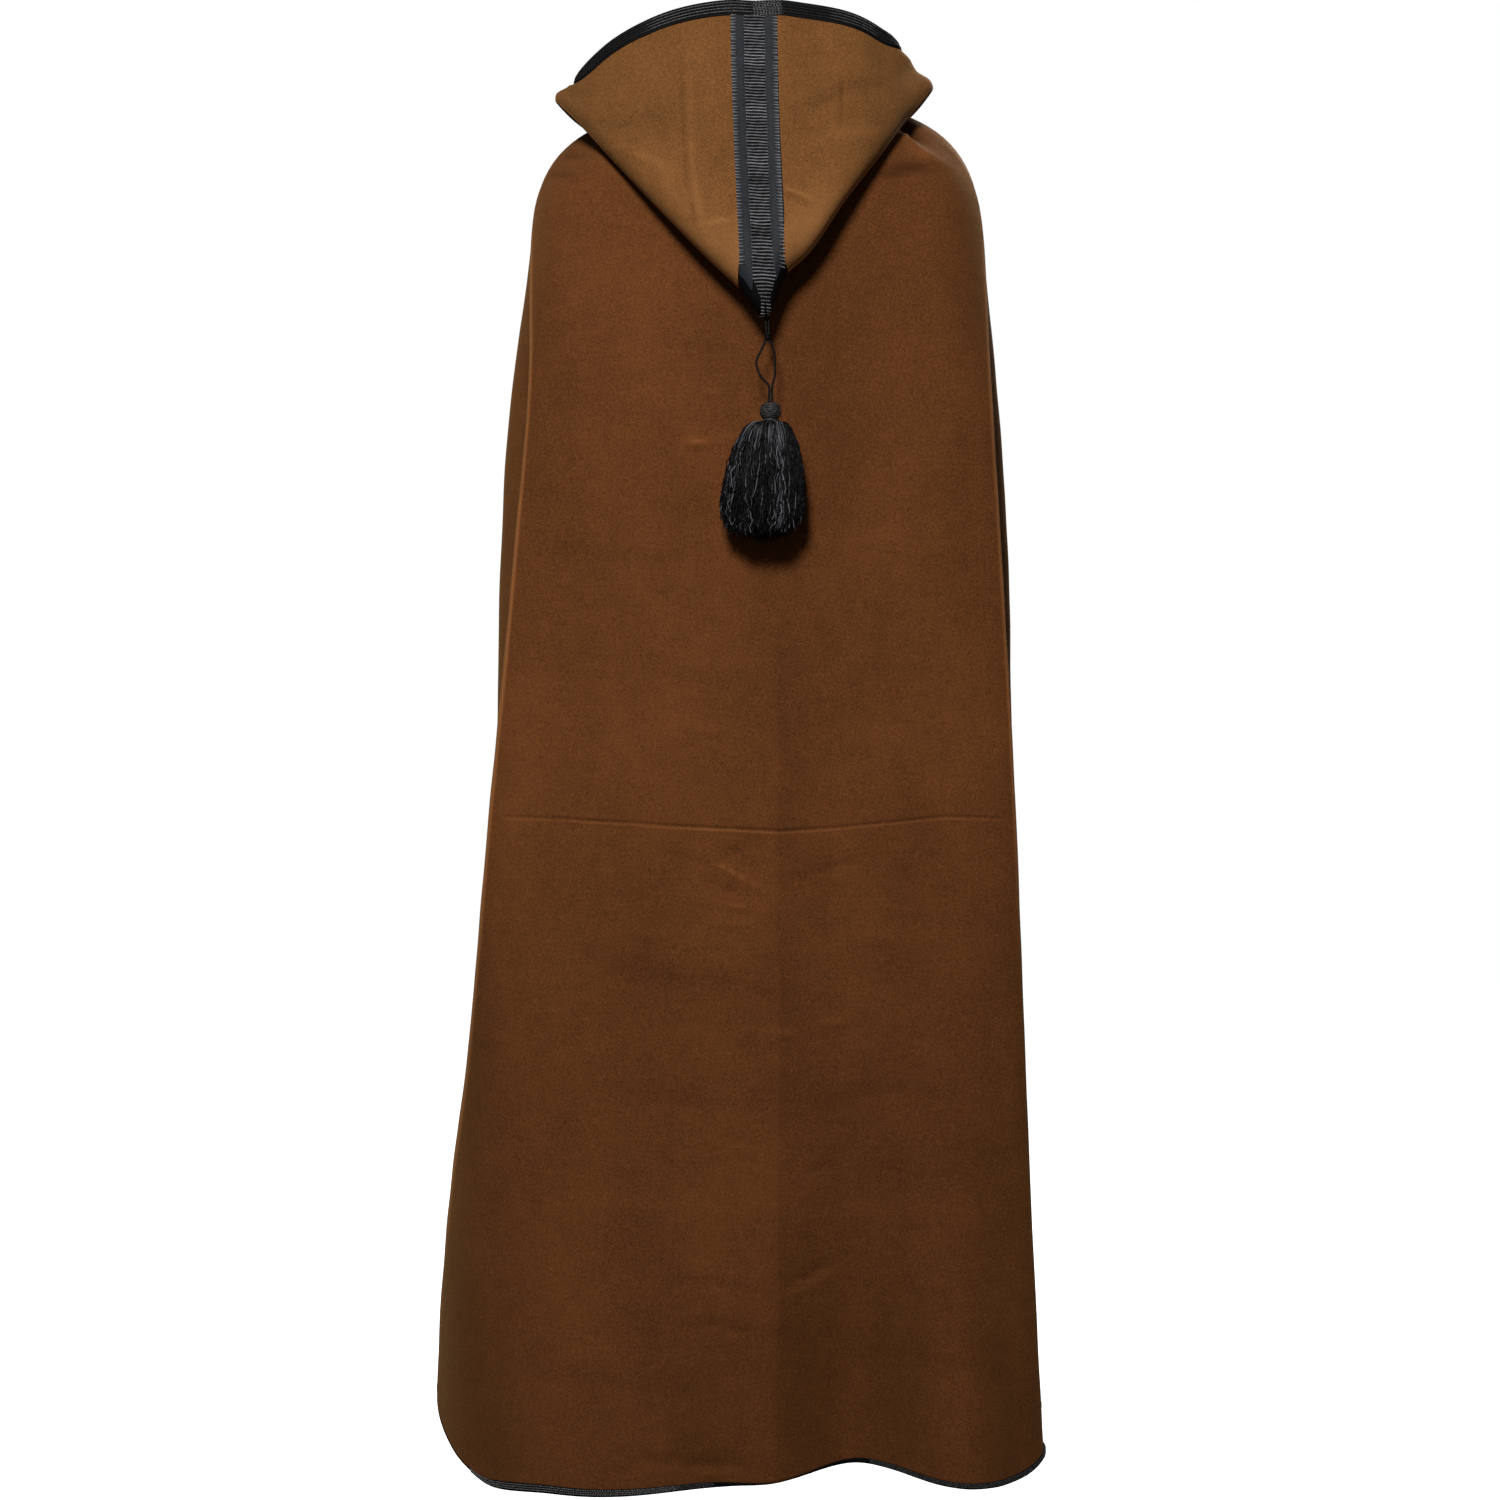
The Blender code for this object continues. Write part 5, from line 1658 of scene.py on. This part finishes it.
class BURNOUS_OT_hood(bpy.types.Operator):
    """The two halves of the hood"""

    bl_idname = "burnous.hood"
    bl_label = "Hood"

    def execute(self, context):
        cloth, _, _ = hood_cloth()
        size, look = context.scene.burnous_cloth, finishes()["hood"]
        last, middle, gap = cloth.points.shape[1] - 1, cloth.middle, 0.05
        halves = (
            # name, columns, solid
            ("hood_left_cloth", [*range(middle), middle - gap], "hood_left"),
            ("hood_right_cloth", [middle + gap, *range(middle + 1, last + 1)], "hood_right"),
        )
        for name, columns, solid in halves:
            piece = wall_piece(name, cloth, columns, look, size.thickness)
            finish_piece(piece, "brown_wool", solid)
        return {"FINISHED"}


# The ribbon's own outline: (share of the half width, height as a share of its thickness)
SATIN = ((-1.0, 0.55), (-0.96, 0.95), (-0.84, 0.86), (-0.72, 0.80), (-0.58, 0.86), (-0.43, 0.95))
RIBBON_TOP = (
    *SATIN,
    *((at, 0.62) for at in np.linspace(-0.41, 0.41, 9)),
    *((-at, height) for at, height in reversed(SATIN)),
)
RIBBON_UNDER = tuple((at, 0.0) for at in (0.9, 0.72, 0.45, 0.22, 0.0, -0.22, -0.45, -0.72, -0.9))
RIBBON_SECTION = RIBBON_TOP + RIBBON_UNDER
# The points of the outline in the middle of its face and of its underside
FACE_POINT = len(RIBBON_TOP) // 2
UNDER_POINT = len(RIBBON_TOP) + len(RIBBON_UNDER) // 2
RIBBON_LOW = CLOTH / 2 + 0.0003  # its underside, over the middle of the cloth
RIBBON_THICK = 0.0007
RIBBON_TURN = -0.205  # the height at which it turns over the fold
PAINTED_SHADE_BELOW = -0.198  # painted shade: lower than this the satin is black, as it lies in shadow
TEETH_ABOVE = -0.166  # and no teeth lower than this
TOOTH_LENGTH = 0.0056


class Ribbon:
    """The crown ribbon: where it lies on the hood, its band and its weave."""

    def __init__(self):
        self.cloth, _, self.ways = hood_cloth()
        self.end = self.cloth.points.shape[0] - 1
        self.inward = Edge(self.cloth.points, self.cloth.normals).inward[self.cloth.middle]

    def row_inside(self, distance):
        """The row at a distance in from the face edge, down the middle."""
        return self.end - float(np.interp(distance, self.inward, np.arange(len(self.inward))))

    def half_width(self, row, to_right=0.0):
        """Half its width at a row. Its right side draws in above the tip."""
        way = np.interp(row, [0, self.end], [self.ways[0], 1.0])
        half = between(RIBBON_HALVES, way)
        height = self.cloth.at([row], [self.cloth.middle])[0][2]
        pinch_height, pinch_reach = -0.193, 0.030
        pinch = math.exp(-(((height - pinch_height) / pinch_reach) ** 2))
        drawn_in = 0.24 * pinch + 0.03 * (way > FOLD_AT)
        return half * (1 - drawn_in * np.clip(to_right, 0.0, 1.0))

    def band(self, look):
        """The ribbon itself: a black middle under the ribs, and a satin band on each side, black as painted
        shade low down near the tip.
        """
        first = float(np.interp(RIBBON_FIRST_ROW / HOOD_ROWS, self.ways, np.arange(len(self.ways))))
        last = self.row_inside(FACE_BRAID_WIDTH - 0.004)
        rows = self.cloth.rows_down(self.cloth.middle, 0.0017, first, last)
        heights = np.array([RIBBON_LOW + RIBBON_THICK * h for _, h in RIBBON_SECTION])
        rings = []
        for row in rows:
            aside = np.array([share * self.half_width(row, -share) for share, _ in RIBBON_SECTION])
            columns = self.cloth.aside(row, aside)
            rings.append(self.cloth.at(np.full(len(columns), row), columns, heights))
        raised = np.array(rings)
        # Painted shade: near the tip the satin is swapped for black, as it lies in shadow there
        in_painted_shade = raised[:, FACE_POINT, 2] < PAINTED_SHADE_BELOW
        # It stands up a little where it turns over the fold
        top, under = raised[:, : len(RIBBON_TOP)], raised[:, UNDER_POINT, None]
        near_fold = bell(raised[:, FACE_POINT, 2] - RIBBON_TURN, 0.016)[:, None, None]
        top += near_fold * 0.0014 * unit(top - under)
        band = swept_section("crown_ribbon_band", raised, look["satin"])
        band.data.materials.append(look["ground"])
        black = [0] * len(band.data.polygons)
        for number in range((len(rows) - 1) * len(RIBBON_SECTION)):
            row, place = divmod(number, len(RIBBON_SECTION))
            black[number] = int(in_painted_shade[row] or len(SATIN) - 1 <= place < len(RIBBON_TOP) - len(SATIN))
        band.data.polygons.foreach_set("material_index", black)
        return band

    def weave(self, look, pitch, length):
        """Ribs across its middle, and teeth along both its edges, level as the ribbon hangs."""
        outer = surface(self.cloth.points[int(np.searchsorted(self.ways, FOLD_AT + 0.004)) :])

        def on_hood(x, z, height):
            place, normal, _, _ = outer.ray_cast(Vector((x, 1.0, z)), Vector((0.0, -1.0, 0.0)))
            if place is None:
                return None
            return np.array(place + normal * math.copysign(height, normal.y))

        chance = np.random.default_rng(11)
        height = RIBBON_LOW + RIBBON_THICK + 0.0002
        ribs, teeth = [], []
        fold_row = float(np.searchsorted(self.ways, FOLD_AT))
        last = self.row_inside(FACE_BRAID_WIDTH)
        rows = self.cloth.rows_down(self.cloth.middle, pitch, fold_row + 0.6, last)
        for number, row in enumerate(rows):
            centre = self.cloth.at([row], [self.cloth.middle])[0]
            half = length / 2 * np.clip((centre[2] - RIBBON_TURN) / 0.030, 0.32, 1.0)
            droop = 0.045 + chance.uniform(-0.03, 0.03)
            shift = chance.uniform(-0.0004, 0.0004)
            line = []
            for spot in np.linspace(-half, half, 9):
                sway = 0.00022 * math.sin(number * 0.6 - 300 * spot) - droop * -spot
                line.append(on_hood(centre[0] + spot + shift, centre[2] + sway, height))
            line = [p for p in line if p is not None]
            if len(line) > 3:
                # Painted glint: each rib's tone rises and falls from row to row, and along the rib
                tone = 0.60 + 0.24 * math.sin(0.55 * number) * math.sin(0.17 * number)
                tone = tone + chance.uniform(-0.16, 0.16)
                shape = np.full(len(line), chance.uniform(0.92, 1.08))
                shape[[0, -1]] *= 0.6
                painted_gloss = 0.12 * np.sin(np.linspace(0, 14, len(line)) + number)
                ribs.append((np.array(line), shape, 0.0, tone + painted_gloss))
            for side in (-1, 1):
                reach = self.half_width(row, -side) - 0.0002
                line = []
                for away in side * np.linspace(reach - TOOTH_LENGTH, reach, 4):
                    line.append(on_hood(centre[0] + away, centre[2] + droop * away, height - 0.0001))
                if all(p is not None for p in line) and centre[2] > TEETH_ABOVE:
                    # Painted glint, paler towards the teeth's outer ends
                    outward = np.linspace(0.10, 0.95, 4) + chance.uniform(-0.12, 0.12)
                    teeth.append((np.array(line), (0.6, 0.9, 1.0, 0.7), 0.0, outward))
        return [
            threads("crown_ribs", ribs, look["rib"], 0.00080, sides=8),
            threads("edge_teeth", teeth, look["rib"], 0.00078),
        ]


class BURNOUS_OT_ribbon(bpy.types.Operator):
    """The ribbed ribbon over the hood's crown"""

    bl_idname = "burnous.ribbon"
    bl_label = "Crown ribbon"

    def execute(self, context):
        size, look = context.scene.burnous_trim, finishes()
        ribbon = Ribbon()
        parts = [ribbon.band(look), *ribbon.weave(look, size.rib_pitch, size.rib_length)]
        finish_piece(joined("crown_ribbon_weave", parts), "slate_ribbon", "crown_ribbon")
        return {"FINISHED"}


def spread(values, count):
    """Values evened out over a number of places, the ends held."""
    return np.convolve(np.pad(values, count // 2, mode="edge"), np.full(count, 1 / count), mode="valid")


def bind_face(size, look):
    """Braid round the face edge. At the hood's corners it rolls inwards, so less of it shows."""
    hood, shares, _ = hood_cloth()
    edge = Edge(hood.points, hood.normals)
    throat = np.clip(2 * np.abs(shares) - 0.8, 0, 1)
    width = FACE_BRAID_WIDTH + (THROAT_BRAID_WIDTH - FACE_BRAID_WIDTH) * smooth_step(throat)
    width = width * (1 - 0.70 * bell(np.abs(shares) - HOOD_CORNER, 0.055))
    strip = bind_edge("face_braid_strip", edge, width, FACE_WELTS, look["braid"])
    # Its stitches are painted paler where they catch the light behind, as painted highlights, for a long
    # stretch on the left and a short one on the right
    x, y = hood.points[-1, :, 0], hood.points[-1, :, 1]
    painted_glint = 0.88 * (smooth_step((x - 0.002) / 0.01) * smooth_step((0.118 - x) / 0.02))
    painted_glint = painted_glint + 0.55 * smooth_step((x + 0.122) / 0.01) * smooth_step((-0.068 - x) / 0.01)
    behind = smooth_step((y - np.max(y) + 0.060) / 0.02)
    painted_glint = (0.12 + painted_glint * behind) * (width > ROLLED_IN)
    pitch = size.stitch_pitch
    stitches = braid_stitches("face_stitches", edge, width, FACE_WELTS, look["stitch"], pitch, 21, painted_glint)
    # Ribs like the ribbon's cross the braid over the ribbon's end
    ribbon_x, ribbon_half = -0.0080, 0.0135
    crossing = 1.0 * ((np.abs(x - ribbon_x) < ribbon_half) & (y > 0))
    ribbed = np.arange(0.05, 0.98, 0.115)
    ribs = braid_stitches("face_ribs", edge, width, ribbed, look["stitch"], 0.0030, 23, crossing)
    finish_piece(joined("face_braid_weave", [strip, stitches, ribs]), "black_braid", "face_braid")


def bind_hem(size, look):
    """Braid round the hem. The edge rolls under in places, so less of the braid shows there."""
    cloak, _, _, _ = cloak_cloth()
    edge = Edge(cloak.points, cloak.normals)
    x, y = cloak.points[-1, :, 0], cloak.points[-1, :, 1]
    width = spread(np.where(y > -0.02, between(HEM_SHOWS, x) * MM, 0.0068), 13)
    under_middle = (np.abs(x + 0.024) < 0.030) & (y > 0)
    under_corner = (x > 0.283) & (y > -0.012)
    rolled = spread(np.where(under_corner, 0.10, np.where(under_middle, 0.45, 1.0)), 9)
    strip = bind_edge("hem_braid_strip", edge, width, HEM_WELTS, look["braid"], rolled)
    # Painted highlight: the hem's stitches are painted paler on the back's left, where light catches them
    painted_glint = np.where((x > 0.08) & (y > 0), 1.0, 0.35)
    pitch = size.hem_stitch_pitch
    stitches = braid_stitches("hem_stitches", edge, width, HEM_WELTS, look["stitch"], pitch, 22, painted_glint)
    finish_piece(joined("hem_braid_weave", [strip, stitches]), "black_braid", "hem_braid")


def bind_front(side, size, look):
    """Braid down one front edge, from the throat to the hem's braid."""
    cloak, _, _, rows = cloak_cloth()
    start = int(np.searchsorted(rows, TOP_ROWS))
    reach = slice(16, None, -1) if side == "left" else slice(-17, None)
    points, normals = (grid[start:, reach].transpose(1, 0, 2) for grid in (cloak.points, cloak.normals))
    along = lengths_along(points[-1])
    keep = along < along[-1] - HEM_BRAID_WIDTH - 0.0012
    edge, width = Edge(points[:, keep], normals[:, keep]), HEM_BRAID_WIDTH
    strip = bind_edge(f"front_strip_{side}", edge, width, HEM_WELTS, look["braid"])
    name, pitch = f"front_stitches_{side}", size.hem_stitch_pitch
    stitches = braid_stitches(name, edge, width, HEM_WELTS[::2], look["stitch"], pitch, 23)
    piece = joined(f"front_braid_{side}_weave", [strip, stitches])
    finish_piece(piece, "black_braid", f"front_braid_{side}")


class BURNOUS_OT_braids(bpy.types.Operator):
    """Braid round the face, the hem and the two front edges"""

    bl_idname = "burnous.braids"
    bl_label = "Braids"

    def execute(self, context):
        size, look = context.scene.burnous_trim, finishes()
        bind_face(size, look)
        bind_hem(size, look)
        for side in SIDES:
            bind_front(side, size, look)
        return {"FINISHED"}


def round_about(centre, turn, radius, z, flat=1.0):
    """Points round an upright line through a centre."""
    return centre + np.stack([radius * np.cos(turn), flat * radius * np.sin(turn), z + 0 * turn], axis=1)


def skirt_threads(size, chance):
    """The threads of the skirt: out from the binding over a bulb, then down and apart."""
    ways = SKIRT_WAYS
    radii, falls = between(SKIRT, ways), between(SKIRT, ways, 2)
    flat = 1.0 - (1.0 - FLATTENED) * np.clip(ways / 0.25, 0, 1)
    lean = 0.0022 * np.clip(ways / 0.10, 0, 1) + 0.0060 * ways
    lines = []
    for number in range(size.threads):
        turn = math.tau * (number * GOLDEN + chance.uniform(-0.02, 0.02))
        # How far out it lies: most are near the outside
        deep = 1.0 - 0.72 * chance.random() ** 1.8
        aside = deep * abs(math.cos(turn))
        long = 1.0 + chance.normal(0, 0.035) + 0.02 * math.sin(3 * turn) - 0.19 * aside**3.5
        radius = radii * (0.10 + 0.90 * deep)
        fall = falls * long * size.thread_length / THREAD_LENGTH
        tuft = 0.12 * math.sin(7 * turn + 1.3) + 0.08 * math.sin(17 * turn)
        drift = turn + (0.16 * chance.normal() + tuft) * ways**1.5
        x = TASSEL_X + radius * np.cos(drift) + lean
        y = TASSEL_Y + radius * np.sin(drift) * flat
        # Each thread keeps the crimp that it had in the skein
        crimp = size.crimp * np.clip((ways - 0.08) / 0.25, 0, 1) * chance.uniform(0.4, 1.5)
        beat, start = chance.uniform(26, 46), chance.uniform(0, math.tau, 3)
        x += crimp * (np.sin(beat * ways + start[0]) + 0.6 * np.sin(0.37 * beat * ways + start[1]))
        y += 0.7 * crimp * np.sin(0.9 * beat * ways + start[2])
        line = np.stack([x, y, LOOSE_FROM - 0.0005 - fall], axis=1)
        # About one in six is painted pale, as painted highlight streaks, and stouter
        tone = 0.01 + (chance.uniform(0.35, 1.0) if chance.random() < 0.17 else 0.03 * chance.random())
        stout = 1.35 if tone > 0.2 else 0.95
        painted_streaks = tone * (0.50 + 0.50 * np.sin(chance.uniform(8, 20) * ways + start[1]))
        # Painted highlight: light gleams on the bulb under the binding, on the threads facing the back
        painted_gleam = chance.uniform(0.3, 1.0) if chance.random() < 0.35 else 0.0
        painted_gleam = max(0.0, math.sin(turn)) ** 3 * painted_gleam
        painted_streaks = painted_streaks + painted_gleam * bell(ways - 0.17, 0.075)
        lines.append((line, stout * np.linspace(1.0, 0.70, len(ways)), ways**1.2, painted_streaks))
    return lines


def stray_threads(chance, count=9):
    """A few threads that have come loose on the wearer's left."""
    ways = SKIRT_WAYS
    lines = []
    for number in range(count):
        height = chance.uniform(0.018, 0.040)
        out = np.sin(np.pi * np.clip(ways * chance.uniform(0.75, 1.0), 0, 1)) * chance.uniform(0.003, 0.007)
        x = TASSEL_X + 0.024 + 0.016 * ways**0.6 + out
        y = TASSEL_Y + chance.uniform(0.0, 0.012) + 0 * ways
        z = LOOSE_FROM - height - (0.030 + 0.010 * number / count + chance.uniform(0, 0.022)) * ways
        lines.append((np.stack([x, y, z], axis=1), np.full(len(ways), 0.7), ways, 0.25))
    return lines


def head_cords(chance, loops=9):
    """The head's cord, wound round and across a ball, and its tie."""
    head = np.array(HEAD[:5])
    wind = np.linspace(0, 1, 260)
    z = head[0, 0] - 0.0002 + (head[-1, 0] - head[0, 0]) * wind
    radius = np.interp(-z, -head[:, 0], head[:, 1]) - 0.0013
    coil = round_about(TASSEL_AXIS, math.tau * 8.5 * wind, radius, z)
    wound = [(coil, 1.0, 0.0, 0.6 + 0.3 * np.sin(40 * wind))]
    middle = TASSEL_AXIS + (0, 0, (head[0, 0] + head[-1, 0]) / 2)
    for number in range(loops):
        tilt, spin = 0.9 + 0.25 * math.sin(2.1 * number), number * math.tau / loops
        turn = np.linspace(0, math.tau, 40)
        x, y = BALL * np.cos(turn), BALL * np.sin(turn) * math.cos(tilt)
        z = BALL * np.sin(turn) * math.sin(tilt) * 0.92
        spun_x = x * math.cos(spin) - y * math.sin(spin)
        spun_y = x * math.sin(spin) + y * math.cos(spin)
        loop = middle + np.stack([spun_x, spun_y, z], axis=1)
        wound.append((loop, 1.0, 0.0, 0.45 + 0.45 * chance.random()))
    down = np.linspace(0, 1, 60)
    tie = round_about(TASSEL_AXIS, math.tau * 2.5 * down, 0.0062, LOOSE_FROM + 0.0012 - 0.0028 * down)
    wound.append((tie, 0.9, 0.0, 0.9))
    return wound


def cord_knot(look):
    """The knot above the loop, where the cord parts in two."""
    (left_x, z), (right_x, _) = CORDS["left"][1], CORDS["right"][1]
    place = np.array([(left_x + right_x) / 2, cord_y("left", z), z + 0.0005])
    wide, deep, down = 0.0026, 0.0023, np.linspace(0, 1, 70)
    loops = round_about(place, math.tau * 3 * down, wide, wide * (1 - 2 * down), deep / wide)
    return threads("cord_knot", [(loops, 1.0, 0.0, 0.7)], look, 0.0009, sides=8)


def tassel_core(look):
    """A dark core inside the head and the bulb, so that nothing shows through."""
    turn = math.tau * np.arange(24) / 24
    rings = [round_about(TASSEL_AXIS, turn, r, z, 1.0 if z > LOOSE_FROM else FLATTENED) for z, r in CORE]
    core = swept_section("tassel_core", np.array(rings), look)
    mark_points(core.data, "tone", np.zeros(len(core.data.vertices)))
    return core


class BURNOUS_OT_tassel(bpy.types.Operator):
    """The silk tassel: a wound head, and threads that spread from under it"""

    bl_idname = "burnous.tassel"
    bl_label = "Tassel"

    def execute(self, context):
        size, look = context.scene.burnous_tassel, finishes()
        chance = np.random.default_rng(5)
        lines = [*skirt_threads(size, chance), *stray_threads(chance)]
        parts = [
            threads("tassel_skirt", lines, look["silk"], size.thread_radius, 3, 0.0030, 0.022),
            threads("tassel_head", head_cords(chance), look["wound"], 0.00085),
            cord_knot(look["cord"]),
            tassel_core(look["silk"]),
        ]
        finish_piece(joined("tassel_threads", parts), "black_silk", "tassel")
        return {"FINISHED"}


class BURNOUS_PT_pieces(bpy.types.Panel):
    """The cloak's sizes, colours and pieces"""

    bl_label = "Burnous"
    bl_idname = "BURNOUS_PT_pieces"
    bl_space_type = "VIEW_3D"
    bl_region_type = "UI"
    bl_category = "Burnous"

    def draw(self, context):
        for group in GROUPS:
            box = self.layout.box()
            for name in group.__annotations__:
                box.prop(getattr(context.scene, group_name(group)), name)
        for operator in OPERATORS:
            self.layout.operator(operator.bl_idname)


GROUPS = (BurnousCloth, BurnousTrim, BurnousTassel, BurnousStudio)
OPERATORS = (
    BURNOUS_OT_stage,
    BURNOUS_OT_cords,
    BURNOUS_OT_cloak,
    BURNOUS_OT_hood,
    BURNOUS_OT_ribbon,
    BURNOUS_OT_braids,
    BURNOUS_OT_tassel,
)


def group_name(group):
    return "burnous_" + group.__name__.removeprefix("Burnous").lower()


def register():
    for made in (*GROUPS, *OPERATORS, BURNOUS_PT_pieces):
        bpy.utils.register_class(made)
    for group in GROUPS:
        setattr(bpy.types.Scene, group_name(group), bpy.props.PointerProperty(type=group))


def unregister():
    for group in GROUPS:
        delattr(bpy.types.Scene, group_name(group))
    for made in reversed((*GROUPS, *OPERATORS, BURNOUS_PT_pieces)):
        bpy.utils.unregister_class(made)


def declare():
    """Works out the middle line of each cord, and does nothing more with it."""
    for side in SIDES:
        line = cord_line(side)


def main():
    register()
    for operator in OPERATORS:
        module, name = operator.bl_idname.split(".")
        getattr(getattr(bpy.ops, module), name)()
    declare()


if __name__ == "__main__":
    main()
